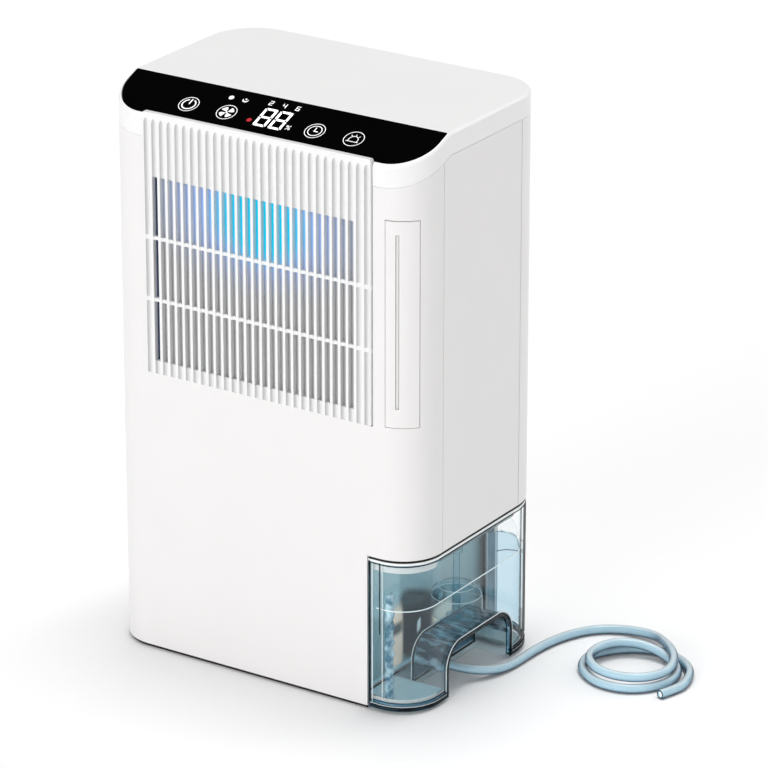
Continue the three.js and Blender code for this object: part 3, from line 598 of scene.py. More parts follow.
def cover_solid(base_inset, low, high, radius, seg=24):
    rings = [[(x, y, low) for x, y in outline(base_inset, seg)]]
    steps = 7
    for i in range(steps + 1):
        a = (math.pi / 2) * i / steps
        rings.append([(x, y, high - radius + radius * math.sin(a)) for x, y in outline(base_inset + radius * (1 - math.cos(a)), seg)])
    bm = loft(rings)
    for d in (-1.2, -0.6, 0.0, 0.6, 1.2):
        bmesh.ops.bisect_plane(bm, geom=bm.verts[:] + bm.edges[:] + bm.faces[:], plane_co=(0, (SLOPE_BACK + d) * MM, 0), plane_no=(0, 1, 0), dist=1e-7)
    for v in bm.verts:
        v.co.z += top_surface(v.co.y / MM) * MM
    return bm


cover = cover_solid(0.0, -SKIRT - 0.32, 0.0, 2.7)
cavity = loft([[(x, y, z) for x, y in outline(WALL)] for z in (-40.0, -4.6)])
bmesh.ops.bisect_plane(cavity, geom=cavity.verts[:] + cavity.edges[:] + cavity.faces[:], plane_co=(0, SLOPE_BACK * MM, 0), plane_no=(0, 1, 0), dist=1e-7)
SL = (TOP_Z - SLOPE_Z) / (SLOPE_BACK - FRONT_Y)
for v in cavity.verts:
    v.co.z += (TOP_Z + min(0.0, SL * (v.co.y / MM - SLOPE_BACK))) * MM
cover = boolean(cover, cavity)
recess = prism(outline(1.9), -2.0, 30.0)
bmesh.ops.bisect_plane(recess, geom=recess.verts[:] + recess.edges[:] + recess.faces[:], plane_co=(0, (SLOPE_BACK - 0.3) * MM, 0), plane_no=(0, 1, 0), clear_outer=True, dist=1e-7)
bmesh.ops.holes_fill(recess, edges=[e for e in recess.edges if e.is_boundary])
for v in recess.verts:
    v.co.z += (TOP_Z + SL * (v.co.y / MM - SLOPE_BACK)) * MM
bmesh.ops.recalc_face_normals(recess, faces=recess.faces)
cover = boolean(cover, recess)
cover = boolean(cover, merge(box(-87.8, 87.8, -90, -75.7, 330, 377.7)))
cover = boolean(cover, box(-19, 24, -68, -50, 340, 400))
bmesh.ops.dissolve_limit(cover, angle_limit=rad(0.4), verts=cover.verts, edges=cover.edges)


def lower_skirt(e):
    """The edges along the cover's lower rim."""
    mid = (e.verts[0].co + e.verts[1].co) / 2 / MM
    return abs(mid.z - (TOP_Z + min(0.0, SL * (mid.y - SLOPE_BACK)) - SKIRT - 0.32)) < 0.2 and mid.z > 350


soften(cover, 0.35, 2, 60, lower_skirt)
# the cover's white is a brighter copy of the casing's, painted light so its top reads as bright as it is lit
M["white_cover_brightened"] = pm("white_cover_brightened", (0.845, 0.84, 0.838), rough=0.30, var=0.006, scale=25, rough_var=0.03, bump=0.08, bump_scale=1400)
put("v_top_cover", cover, M["white_cover_brightened"], "casing", ["top_cover"], weighted=True)
refined("control_panel", M["black_fascia"], 0.22, 2)

# ------------------------------------------------------------------ symbols on the fascia
def on_slope(x, s, h):
    c, n = math.cos(SLOPE_A), math.sin(SLOPE_A)
    return Vector((x, FRONT_Y + s * c - h * n, SLOPE_Z + s * n + h * c)) * MM


class Print:
    """Flat printed shapes in the fascia's plane, (x, s) in mm."""

    def __init__(self):
        self.bm = bmesh.new()

    def poly(self, pts):
        self.bm.faces.new([self.bm.verts.new(on_slope(x, s, 0.06)) for x, s in pts])

    def ring(self, cx, cs, r0, r1, a0=0.0, a1=360.0, n=56):
        full = abs(a1 - a0) >= 360
        ang = [rad(a0 + (a1 - a0) * i / n) for i in range(n + (0 if full else 1))]
        inner = [self.bm.verts.new(on_slope(cx + r0 * math.sin(a), cs + r0 * math.cos(a), 0.06)) for a in ang]
        outer = [self.bm.verts.new(on_slope(cx + r1 * math.sin(a), cs + r1 * math.cos(a), 0.06)) for a in ang]
        m_ = len(ang)
        for i in range(m_ if full else m_ - 1):
            j = (i + 1) % m_
            self.bm.faces.new((inner[i], inner[j], outer[j], outer[i]))

    def disc(self, cx, cs, r, n=28, sx=1.0):
        self.poly([(cx + sx * r * math.sin(2 * math.pi * i / n), cs + r * math.cos(2 * math.pi * i / n)) for i in range(n)])

    def line(self, pts, w):
        for (x0, s0), (x1, s1) in zip(pts, pts[1:]):
            d = Vector((x1 - x0, s1 - s0)).normalized()
            nx, ns = -d.y * w / 2, d.x * w / 2
            ex, es = d.x * w * 0.35, d.y * w * 0.35
            self.poly([(x0 - ex + nx, s0 - es + ns), (x0 - ex - nx, s0 - es - ns), (x1 + ex - nx, s1 + es - ns), (x1 + ex + nx, s1 + es + ns)])

    def finish(self, name, mat):
        bm = self.bm
        bmesh.ops.remove_doubles(bm, verts=bm.verts, dist=1e-9)
        lift = on_slope(0, 0, 0.15) - on_slope(0, 0, 0.06)
        ret = bmesh.ops.extrude_face_region(bm, geom=bm.faces[:], use_keep_orig=True)
        for v in (g for g in ret["geom"] if isinstance(g, bmesh.types.BMVert)):
            v.co += lift
        bmesh.ops.recalc_face_normals(bm, faces=bm.faces)
        return put(name, bm, mat, "casing", (), angle=30)


M["print_white"] = pm("print_white", (0.90, 0.90, 0.90), rough=0.5, var=0.01, scale=200, emission=(1, 1, 1), emission_strength=0.35)
M["digit_white"] = pm("digit_white", (0.90, 0.90, 0.90), rough=0.5, var=0.01, scale=200, emission=(1, 1, 1), emission_strength=1.0)
M["led_red"] = pm("led_red", (0.30, 0.004, 0.01), rough=0.4, var=0.1, scale=600, emission=(0.75, 0.004, 0.015), emission_strength=0.30)

ic = Print()
# power: thin circle, thick open circle, bar
x, s = -63.2, 17.6
ic.ring(x, s, 6.6, 7.05)
ic.ring(x, s, 4.15, 5.05, 24, 336)
ic.line([(x, s + 0.4), (x, s + 4.9)], 0.8)
# fan: thin circle and four curved blades
x, s = -33.8, 17.6
ic.ring(x, s, 6.6, 7.05)
for k in range(4):
    a0 = 45 + 90 * k
    pts = []
    for i in range(9):
        a = a0 - 26 + 50 * i / 8
        pts.append((x + 5.0 * math.sin(rad(a)), s + 5.0 * math.cos(rad(a))))
    for i in range(7):
        t = i / 6
        a = a0 + 24 - 22 * t
        r = 5.0 * (1 - t) + 0.7 * t
        pts.append((x + r * math.sin(rad(a + 18 * math.sin(math.pi * t))), s + r * math.cos(rad(a + 18 * math.sin(math.pi * t)))))
    ic.poly(pts)
ic.disc(x, s, 0.7)
# humidity drop and sleep moon
ic.disc(-39.0, 31.6, 1.8)
mx, ms = -28.2, 31.9
cres = [(mx + 2.2 * math.sin(rad(a)), ms + 2.2 * math.cos(rad(a))) for a in range(70, 291, 20)]
cres += [(mx + 2.15 * math.sin(rad(a)) * 0.93, ms + 1.0 + 2.05 * math.cos(rad(a))) for a in range(270, 89, -20)]
ic.poly(cres)
ic.disc(mx, ms + 0.9, 0.6)
# timer numbers
def small_digit(p, d, x, s, w=2.3, h=3.7, t=0.55):
    seg = {"a": [(0, h), (w, h)], "b": [(w, h), (w, h / 2)], "c": [(w, h / 2), (w, 0)], "d": [(0, 0), (w, 0)], "e": [(0, h / 2), (0, 0)], "f": [(0, h), (0, h / 2)], "g": [(0, h / 2), (w, h / 2)]}
    for k in {"2": "abged", "4": "fgbc", "6": "afgedc"}[d]:
        p.line([(x - w / 2 + u, s - h / 2 + v) for u, v in seg[k]], t)


small_digit(ic, "2", -9.6, 34.0)
small_digit(ic, "4", 0.6, 34.0)
small_digit(ic, "6", 10.8, 34.0)
# clock: thin circle, inner circle, two hands
x, s = 33.8, 17.6
ic.ring(x, s, 6.6, 7.05)
ic.ring(x, s, 4.4, 4.95)
ic.line([(x - 0.4, s + 2.9), (x - 0.4, s - 0.5), (x + 2.2, s - 0.5)], 0.8)
# lamp: thin circle, dome on a base line, three rays
x, s = 63.0, 17.8
ic.ring(x, s, 6.6, 7.05)
dome = [(x + 3.3 * math.sin(rad(a)), s - 1.0 + 3.5 * math.cos(rad(a))) for a in range(-90, 91, 12)]
ic.line([(x - 3.3, s - 2.6)] + dome + [(x + 3.3, s - 2.6)], 0.5)
ic.line([(x - 4.3, s - 2.7), (x + 4.3, s - 2.7)], 0.5)
for a in (-38, 0, 38):
    ic.line([(x + 4.3 * math.sin(rad(a)), s - 1.0 + 4.3 * math.cos(rad(a))), (x + 5.1 * math.sin(rad(a)), s - 1.0 + 5.1 * math.cos(rad(a)))], 0.5)
# percent sign
x, s = 14.8, 15.4
ic.line([(x - 1.3, s - 1.9), (x + 1.3, s + 1.9)], 0.5)
ic.ring(x - 1.1, s + 1.2, 0.35, 0.85, n=16)
ic.ring(x + 1.1, s - 1.2, 0.35, 0.85, n=16)
ic.finish("fascia_symbols", M["print_white"])

dg = Print()
for x0 in (-10.3, 1.25):
    W, H, T, g, s0 = 9.6, 17.7, 1.8, 0.45, 11.3
    h2 = H / 2
    segs = [
        [(g * 2, H), (W - g, H), (W - T - g, H - T), (T + g, H - T)],
        [(g, 0), (T + g, T), (W - T - g, T), (W - 2 * g, 0)],
        [(0, H - g), (T, H - T - g), (T, h2 + T / 2 + g / 2), (T * 0.35, h2 + g), (0, h2 + g)],
        [(0, g), (0, h2 - g), (T * 0.35, h2 - g), (T, h2 - T / 2 - g / 2), (T, T + g)],
        [(W, H - g), (W, h2 + g), (W - T * 0.35, h2 + g), (W - T, h2 + T / 2 + g / 2), (W - T, H - T - g)],
        [(W, g), (W - T, T + g), (W - T, h2 - T / 2 - g / 2), (W - T * 0.35, h2 - g), (W, h2 - g)],
        [(T * 0.55 + g, h2), (T + g, h2 + T / 2), (W - T - g, h2 + T / 2), (W - T * 0.55 - g, h2), (W - T - g, h2 - T / 2), (T + g, h2 - T / 2)],
    ]
    for sg in segs:
        dg.poly([(x0 + a, s0 + b) for a, b in sg])
dg.finish("display_digits", M["digit_white"])
rd = Print()
rd.disc(-14.8, 15.0, 1.75)
rd.finish("display_red_light", M["led_red"])

# ------------------------------------------------------------------ front grille
GP, GN = 6.03, 29
ROWS = [(207.8, 248.8), (251.2, 291.2), (293.6, 334.0)]


def channel(x, z0, z1, half=2.12, depth=1.25):
    prof = [(-1.0, -0.35)] + [(-1 + t / 6, 1 - (-1 + t / 6) ** 2) for t in range(13)] + [(1.0, -0.35)]
    stations = [(z0 - 2.0, 1.0), (z1 - 5.5, 1.0), (z1 - 4.0, 0.985), (z1 - 2.8, 0.92), (z1 - 1.7, 0.80), (z1 - 0.9, 0.62), (z1 - 0.3, 0.36), (z1, 0.10)]
    rings = []
    for z, k in stations:
        kd = k if k >= 1 else k ** 1.15
        rings.append([(x + a * half * k, -79.5 + (b * depth * kd if b > 0 else b), z) for a, b in prof])
    return loft(rings)


plate = box(-87.5, 87.5, -79.5, -76.0, 198.9, 377.4)
corner = [e for e in plate.edges if abs(e.verts[0].co.x - e.verts[1].co.x) < 1e-9 and abs(e.verts[0].co.z - e.verts[1].co.z) < 1e-9]
bmesh.ops.bevel(plate, geom=corner, offset=1.6 * MM, offset_type="OFFSET", segments=5, profile=0.5, affect="EDGES")
rim = [e for e in plate.edges if abs(e.verts[0].co.y + 0.0795) < 1e-6 and abs(e.verts[1].co.y + 0.0795) < 1e-6]
bmesh.ops.bevel(plate, geom=rim, offset=0.55 * MM, offset_type="OFFSET", segments=3, profile=0.5, affect="EDGES")
chans, slots = [], []
for i in range(GN):
    xg = (i - (GN - 1) / 2) * GP
    chans.append(channel(xg, 198.9, 373.6))
    if 1 <= i <= 26:
        for z0, z1 in ROWS:
            slots.append(box(xg - 2.02, xg + 2.02, -85, -70, z0, z1))
grille = boolean(plate, merge(*chans))
grille = boolean(grille, merge(*slots))
bmesh.ops.dissolve_limit(grille, angle_limit=rad(0.5), verts=grille.verts, edges=grille.edges)
put("v_front_grille", grille, M["white_grille"], "casing", ["front_grille"], angle=28)

# painted shade: inside the grooves and slots the surfaces that look to the right sit in shade, darkened in the grille's
# colour, except at the bars
nt = M["white_grille"].node_tree
b = nt.nodes["Principled BSDF"]
src = b.inputs["Base Color"].links[0].from_socket
tc = node(nt, "ShaderNodeTexCoord")
sep = node(nt, "ShaderNodeSeparateXYZ")
nt.links.new(tc.outputs["Normal"], sep.inputs["Vector"])
pos = node(nt, "ShaderNodeSeparateXYZ")
nt.links.new(tc.outputs["Object"], pos.inputs["Vector"])
half = node(nt, "ShaderNodeMapRange")
half.inputs["From Min"].default_value = -1.0
nt.links.new(sep.outputs["X"], half.inputs["Value"])
turned = node(nt, "ShaderNodeValToRGB")
els = turned.color_ramp.elements
els[0].position, els[0].color = 0.28, (0, 0, 0, 1)
els[1].position, els[1].color = 0.86, (1, 1, 1, 1)
for where, v in ((0.91, 0.45), (1.0, 0.40)):
    els.new(where).color = (v, v, v, 1)
nt.links.new(half.outputs["Result"], turned.inputs["Fac"])
inside = node(nt, "ShaderNodeMapRange", interpolation_type="SMOOTHSTEP")
inside.inputs["From Min"].default_value = -79.48 * MM
inside.inputs["From Max"].default_value = -79.20 * MM
nt.links.new(pos.outputs["Y"], inside.inputs["Value"])
shade_amount = node(nt, "ShaderNodeMath", operation="MULTIPLY")
nt.links.new(turned.outputs["Color"], shade_amount.inputs[0])
nt.links.new(inside.outputs["Result"], shade_amount.inputs[1])
for bar_z in (250.0, 292.4):
    off = node(nt, "ShaderNodeMath", operation="SUBTRACT")
    off.inputs[1].default_value = bar_z * MM
    nt.links.new(pos.outputs["Z"], off.inputs[0])
    size = node(nt, "ShaderNodeMath", operation="ABSOLUTE")
    nt.links.new(off.outputs[0], size.inputs[0])
    clear_of = node(nt, "ShaderNodeMapRange")
    clear_of.inputs["From Min"].default_value = 1.3 * MM
    clear_of.inputs["From Max"].default_value = 1.7 * MM
    nt.links.new(size.outputs[0], clear_of.inputs["Value"])
    less = node(nt, "ShaderNodeMath", operation="MULTIPLY")
    nt.links.new(shade_amount.outputs[0], less.inputs[0])
    nt.links.new(clear_of.outputs["Result"], less.inputs[1])
    shade_amount = less
mx = node(nt, "ShaderNodeMix", data_type="RGBA", blend_type="MULTIPLY")
nt.links.new(shade_amount.outputs[0], mx.inputs["Factor"])
nt.links.new(src, mx.inputs["A"])
mx.inputs["B"].default_value = (0.58, 0.58, 0.59, 1)
nt.links.new(mx.outputs["Result"], b.inputs["Base Color"])

# dust screen: woven mesh with a painted pool of blue light, in its colour and its glow, standing for the lamps behind
# it
scr = bpy.data.materials.new("screen_mesh")
scr.use_nodes = True
nt = scr.node_tree
b = nt.nodes["Principled BSDF"]
b.inputs["Roughness"].default_value = 0.8
b.inputs["Specular IOR Level"].default_value = 0.2
tc = node(nt, "ShaderNodeTexCoord")
sep = node(nt, "ShaderNodeSeparateXYZ")
nt.links.new(tc.outputs["Object"], sep.inputs["Vector"])


def math_node(op, a, bb=None, clamp=False):
    n = node(nt, "ShaderNodeMath", operation=op, use_clamp=clamp)
    for k, v in enumerate((a, bb)):
        if v is None:
            continue
        if isinstance(v, (int, float)):
            n.inputs[k].default_value = v
        else:
            nt.links.new(v, n.inputs[k])
    return n.outputs[0]


def glow(cx, cz, rx, rz, inner, outer):
    dx = math_node("DIVIDE", math_node("SUBTRACT", sep.outputs["X"], cx * MM), rx * MM)
    dz = math_node("DIVIDE", math_node("SUBTRACT", sep.outputs["Z"], cz * MM), rz * MM)
    d = math_node("SQRT", math_node("ADD", math_node("MULTIPLY", dx, dx), math_node("MULTIPLY", dz, dz)))
    mr = node(nt, "ShaderNodeMapRange", interpolation_type="SMOOTHSTEP")
    mr.inputs["From Min"].default_value = outer
    mr.inputs["From Max"].default_value = inner
    nt.links.new(d, mr.inputs["Value"])
    return mr.outputs["Result"]


weave_x = node(nt, "ShaderNodeTexWave", wave_type="BANDS", bands_direction="X")
weave_x.inputs["Scale"].default_value = 320.0
weave_z = node(nt, "ShaderNodeTexWave", wave_type="BANDS", bands_direction="Z")
weave_z.inputs["Scale"].default_value = 320.0
for w in (weave_x, weave_z):
    nt.links.new(tc.outputs["Object"], w.inputs["Vector"])
weave = math_node("MAXIMUM", weave_x.outputs["Fac"], weave_z.outputs["Fac"])
ramp = node(nt, "ShaderNodeValToRGB")
ramp.color_ramp.elements[0].color = (0.40, 0.405, 0.41, 1)
ramp.color_ramp.elements[1].color = (0.50, 0.50, 0.505, 1)
nt.links.new(weave, ramp.inputs["Fac"])
screen_base = ramp.outputs["Color"]
bp = node(nt, "ShaderNodeBump")
bp.inputs["Strength"].default_value = 0.4
bp.inputs["Distance"].default_value = 0.0001
nt.links.new(weave, bp.inputs["Height"])
nt.links.new(bp.outputs["Normal"], b.inputs["Normal"])
# painted light: a wide blue halo and a cyan core, in colour and glow
halo = glow(-3, 322, 86, 54, 0.25, 1.12)
core = glow(0, 318, 40, 30, 0.55, 1.15)
# painted shadow: dark along the screen's left edge
edge = glow(-80.5, 280, 4.2, 200, 0.6, 1.0)


def blend(fac, a_, color):
    n = node(nt, "ShaderNodeMix", data_type="RGBA")
    nt.links.new(fac, n.inputs["Factor"])
    if isinstance(a_, tuple):
        n.inputs["A"].default_value = (*a_, 1)
    else:
        nt.links.new(a_, n.inputs["A"])
    n.inputs["B"].default_value = (*color, 1)
    return n.outputs["Result"]


nt.links.new(blend(edge, blend(core, blend(halo, screen_base, (0.27, 0.37, 0.56)), (0.01, 0.34, 0.44)), (0.05, 0.06, 0.09)), b.inputs["Base Color"])
nt.links.new(blend(edge, blend(core, blend(halo, (0.02, 0.02, 0.021), (0.11, 0.22, 0.50)), (0.0, 0.33, 0.50)), (0.0, 0.01, 0.03)), b.inputs["Emission Color"])
b.inputs["Emission Strength"].default_value = 1.0
M["screen"] = scr

# ------------------------------------------------------------------ base and feet
refined("base_plate", M["base_grey"], 0.35, 2)
for cad in ("foot_front_left", "foot_rear_left", "foot_front_right", "foot_rear_right"):
    refined(cad, M["rubber"], 0.5, 2)

# ------------------------------------------------------------------ water tank
M["tank_clear"] = clear("tank_clear", (0.980, 0.993, 0.997), (0.945, 0.98, 0.99), (0.012, 0.03, 0.04), stops=(0.52, 0.70, 0.88), gloss=0.25, rough=0.015)
# tank_bead: clear with dark sides, for beads of painted refraction
M["tank_bead"] = clear("tank_bead", (0.80, 0.94, 1.0), (0.40, 0.68, 0.82), (0.004, 0.008, 0.012), stops=(0.10, 0.28, 0.52), gloss=0.12, rough=0.03, scale=55, var=0.16)
# tank_highlight_white: near-white for painted highlights along the tank's edges, its rim and the float's outline
M["tank_highlight_white"] = pm("tank_highlight_white", (0.90, 0.92, 0.93), rough=0.2, var=0.01, scale=60, bump=0.05)
# tank_light_band: milky white for painted light, pale bands of refraction under the rim and above the foot
M["tank_light_band"] = milky("tank_light_band", (0.78, 0.83, 0.83), (0.86, 0.89, 0.89), 0.60)
M["tank_grey"] = milky("tank_grey", (0.22, 0.30, 0.33), (0.32, 0.38, 0.40), 0.60, scale=40)
# tank_refraction_streaks: light and dark streaks of painted refraction
M["tank_refraction_streaks"] = milky("tank_refraction_streaks", (0.012, 0.045, 0.075), (0.52, 0.74, 0.86), 0.72, rough=0.06, scale=120, stretch=(0.6, 1.6, 1.6), split=(0.44, 0.72))
# tank_cyan_glow: cyan that glows a little, painted light for the tank's floor
M["tank_cyan_glow"] = pm("tank_cyan_glow", (0.36, 0.52, 0.57), rough=0.3, var=0.14, scale=40, emission=(0.34, 0.50, 0.56), emission_strength=0.26)
M["tank_rear_blue"] = milky("tank_rear_blue", (0.22, 0.40, 0.54), (0.62, 0.82, 0.94), 0.80, rough=0.1, scale=60, stretch=(1.8, 1.8, 0.35), split=(0.38, 0.60))
M["edge_blue"] = pm("edge_blue", (0.08, 0.18, 0.25), rough=0.2, var=0.2, scale=60)
M["tank_blue"] = milky("tank_blue", (0.34, 0.48, 0.58), (0.50, 0.64, 0.74), 0.70, scale=45)
# tank_refraction_blue: dark and pale blue patches of painted refraction
M["tank_refraction_blue"] = milky("tank_refraction_blue", (0.04, 0.17, 0.27), (0.60, 0.85, 0.95), 0.75, rough=0.08, scale=150, split=(0.38, 0.62))
M["tank_pale"] = clear("tank_pale", (0.86, 0.935, 0.975), (0.72, 0.86, 0.93), (0.30, 0.42, 0.52), stops=(0.60, 0.80, 0.95), gloss=0.2, rough=0.05, var=0.10, scale=30)
M["water"] = clear("water", (0.95, 0.985, 0.993), (0.93, 0.975, 0.99), (0.70, 0.84, 0.90), stops=(0.4, 0.7, 0.97), gloss=0.12, rough=0.01)
# tank_line: near-black for the dark lines of painted refraction
M["tank_line"] = pm("tank_line", (0.002, 0.004, 0.006), rough=0.25, spec=0.15, var=0.4, scale=90, tint=(0.012, 0.035, 0.05))
M["tank_streak"] = clear("tank_streak", (0.93, 0.98, 1.0), (0.66, 0.84, 0.92), (0.07, 0.14, 0.20), stops=(0.34, 0.58, 0.82), gloss=0.8, rough=0.05, scale=210, var=0.40)
M["tank_shade"] = clear("tank_shade", (0.40, 0.58, 0.70), (0.30, 0.50, 0.63), (0.05, 0.10, 0.14), stops=(0.40, 0.62, 0.90), gloss=0.5, rough=0.1, scale=70, var=0.22)
# meniscus_highlight: white with a faint glow, a painted highlight
M["meniscus_highlight"] = pm("meniscus_highlight", (0.90, 0.96, 0.98), rough=0.15, var=0.01, scale=80, emission=(0.9, 0.97, 1.0), emission_strength=0.2)


def smoothed(bm, voxel, passes, factor=0.5):
    ob = temp(bm, "tmp_vox")
    r = ob.modifiers.new("remesh", "REMESH")
    r.mode, r.voxel_size, r.use_smooth_shade = "VOXEL", voxel * MM, True
    s_ = ob.modifiers.new("smooth", "SMOOTH")
    s_.factor, s_.iterations = factor, passes
    out = evaluated(ob)
    drop(ob)
    return out


tank = solid_of("water_tank")
# smoothing rounds the channels over the base plate's tongues, so they are cut a little wider first
for y0, y1 in ((-67.1, -50.9), (48.9, 65.1)):
    tank = boolean(tank, box(59.0, 109.3, y0, y1, -5.0, 5.9))
tank = smoothed(tank, 0.75, 5)
put("v_water_tank", tank, M["tank_clear"], "tank", ["water_tank"], angle=75)


def arch(grow, x0, x1, zb, n=10):
    y0, y1, t, r = ALCOVE["y0"], ALCOVE["y1"], ALCOVE["top"], ALCOVE["r"]
    a, b_, z1, rr = y0 - grow, y1 + grow, t + grow, r + grow
    pts = [(a, zb), (b_, zb)]
    for i in range(n + 1):
        q = math.pi / 2 * i / n
        pts.append((b_ - rr + rr * math.cos(q), z1 - rr + rr * math.sin(q)))
    for i in range(n + 1):
        q = math.pi / 2 * i / n
        pts.append((a + rr - rr * math.sin(q), z1 - rr + rr * math.cos(q)))
    return loft([[(x0, y, z) for y, z in pts], [(x1, y, z) for y, z in pts]])


def clip(points, xmin, ymin, ymax):
    """The part of a closed outline beyond x = xmin and between two y values (convex clipping)."""
    for axis, lim, keep in ((0, xmin, 1), (1, ymin, 1), (1, ymax, -1)):
        out = []
        for i, p in enumerate(points):
            q = points[(i + 1) % len(points)]
            pin, qin = (p[axis] - lim) * keep >= 0, (q[axis] - lim) * keep >= 0
            if pin:
                out.append(p)
            if pin != qin:
                t = (lim - p[axis]) / (q[axis] - p[axis])
                out.append((p[0] + t * (q[0] - p[0]), p[1] + t * (q[1] - p[1])))
        points = out
    return points


def cavity_outline(gap):
    return clip(outline(0.5 + TANK_WALL + gap, 32), BAY_X + 0.8 + TANK_WALL + gap, -(78 - 3.1 - TANK_WALL) + gap, REAR_Y - 3.1 - TANK_WALL - gap)


wo = cavity_outline(0.12)
water = prism(wo, 7.75, WATER_Z)
water = boolean(water, arch(TANK_WALL + 0.15, ALCOVE["x"] - TANK_WALL - 0.15, 140, 0))
put("tank_water", water, M["water"], "tank", (), angle=40)


def bead(path, r, closed=False, sides=12):
    """A solid round bead along a path in mm."""
    bm = bmesh.new()
    n = len(path)
    ps = [Vector(p) for p in path]
    u = None
    rings = []
    for i, p in enumerate(ps):
        a = ps[(i - 1) % n] if closed else ps[max(i - 1, 0)]
        c = ps[(i + 1) % n] if closed else ps[min(i + 1, n - 1)]
        t = (c - a).normalized()
        if u is None:
            u = t.cross(Vector((0, 0, 1)) if abs(t.z) < 0.9 else Vector((1, 0, 0))).normalized()
        u = (u - t * u.dot(t)).normalized()
        w = t.cross(u)
        rings.append([bm.verts.new((p + u * (r * math.cos(2 * math.pi * k / sides)) + w * (r * math.sin(2 * math.pi * k / sides))) * MM) for k in range(sides)])
    pairs = list(zip(rings, rings[1:])) + ([(rings[-1], rings[0])] if closed else [])
    for a, b_ in pairs:
        for k in range(sides):
            j = (k + 1) % sides
            bm.faces.new((a[k], a[j], b_[j], b_[k]))
    if not closed:
        bm.faces.new(list(reversed(rings[0])))
        bm.faces.new(rings[-1])
    bmesh.ops.recalc_face_normals(bm, faces=bm.faces)
    return bm


def arc_part(inset, xmin):
    """The casing outline beyond x = xmin, as an open line from the front to the rear."""
    pts = [p for p in outline(inset, 32) if p[0] >= xmin - 1e-6]
    first = [p for p in pts if p[1] < 0]
    last = [p for p in pts if p[1] >= 0]
    return [(xmin, FRONT_Y + inset)] + first + last + [(xmin, REAR_Y - inset)]


def arch_line(grow, x_at, zb, n=12):
    y0, y1, t, r = ALCOVE["y0"] - grow, ALCOVE["y1"] + grow, ALCOVE["top"] + grow, ALCOVE["r"] + grow
    pts = [(y0, zb)]
    for i in range(n + 1):
        q = math.pi / 2 * i / n
        pts.append((y0 + r - r * math.cos(q), t - r + r * math.sin(q)))
    for i in range(n + 1):
        q = math.pi / 2 * i / n
        pts.append((y1 - r + r * math.sin(q), t - r + r * math.cos(q)))
    pts.append((y1, zb))
    return [(x_at(y), y, z) for y, z in pts]


def wall_x(y):
    """x of the tank's outer wall at y, on the right side."""
    x, rf, rr = HALF_W - 0.5, R_FRONT - 0.5, R_REAR - 0.5
    yf, yr = FRONT_Y + 0.5 + rf, REAR_Y - 0.5 - rr
    if y < yf:
        return x - rf + math.sqrt(max(0.0, rf * rf - (yf - y) ** 2))
    if y > yr:
        return x - rr + math.sqrt(max(0.0, rr * rr - (y - yr) ** 2))
    return x


def foot(inset, z, reach):
    """Lines along the two feet of the tank, in front of and behind the alcove, ending on the alcove's lip."""
    pts = [(x, y, z) for x, y in arc_part(inset, 85.2)]
    a = [p for p in pts if p[1] <= ALCOVE["y0"] - reach - 0.2] + [(wall_x(ALCOVE["y0"]) - inset + 0.5, ALCOVE["y0"] - reach, z)]
    c = [(wall_x(ALCOVE["y1"]) - inset + 0.5, ALCOVE["y1"] + reach, z)] + [p for p in pts if p[1] >= ALCOVE["y1"] + reach + 0.2]
    return a, c


f1, r1 = foot(1.35, 3.3, 1.9)
lip_dark = arch_line(2.6, lambda y: wall_x(y) - 0.35, 3.6)
lip_clear = arch_line(1.15, lambda y: wall_x(y) - 1.7, 3.7)
inner_dark = arch_line(1.0, lambda y: ALCOVE["x"] - 1.1, 6.5)
inner_foot = [(ALCOVE["x"] - 0.9, y, 6.4) for y in (ALCOVE["y0"] - 1, ALCOVE["y1"] + 1)]
# clear beads inside the tank wall along the alcove's lip and the feet: painted refraction, drawing dark and pale lines
put("tank_beads", merge(bead(lip_clear, 1.5), bead([(x, y, z + 2.9) for x, y, z in f1], 1.3), bead([(x, y, z + 2.9) for x, y, z in r1], 1.3)),
    M["tank_bead"], "tank", (), angle=60)
# dark lines of painted refraction along the feet, the alcove's lip and its inner end
dark_lines = [bead(f1, 1.5), bead(r1, 1.3), bead(lip_dark, 0.75, sides=10), bead(inner_dark, 0.85, sides=10), bead(inner_foot, 0.75, sides=10)]
f2, r2 = foot(0.7, 5.3, 3.8)
lip_white = arch_line(3.75, lambda y: wall_x(y) - 0.25, 6.0)
# pale lines of painted highlight along the feet and the alcove's lip
highlight_lines = [bead(f2, 0.42, sides=8), bead(r2, 0.42, sides=8), bead(lip_white, 0.34, sides=8),
               bead(arch_line(2.3, lambda y: ALCOVE["x"] - 1.1, 7.5), 0.34, sides=8)]


def band(inset, thick, xmin, z0, z1, ymin=-200, ymax=200):
    """An upright strip along the casing outline, thick mm deep."""
    pairs = [(a, c) for a, c in zip(arc_part(inset, xmin), arc_part(inset + thick, xmin)) if ymin <= a[1] <= ymax]
    o, i_ = [a for a, _ in pairs], [c for _, c in pairs]
    bm = bmesh.new()
    vs = [[bm.verts.new(Vector(q) * MM) for q in ((*a, z0), (*b_, z0), (*b_, z1), (*a, z1))] for a, b_ in zip(o, i_)]
    for a, b_ in zip(vs, vs[1:]):
        for k in range(4):
            j = (k + 1) % 4
            bm.faces.new((a[k], a[j], b_[j], b_[k]))
    bm.faces.new(list(reversed(vs[0])))
    bm.faces.new(vs[-1])
    bmesh.ops.recalc_face_normals(bm, faces=bm.faces)
    return bm


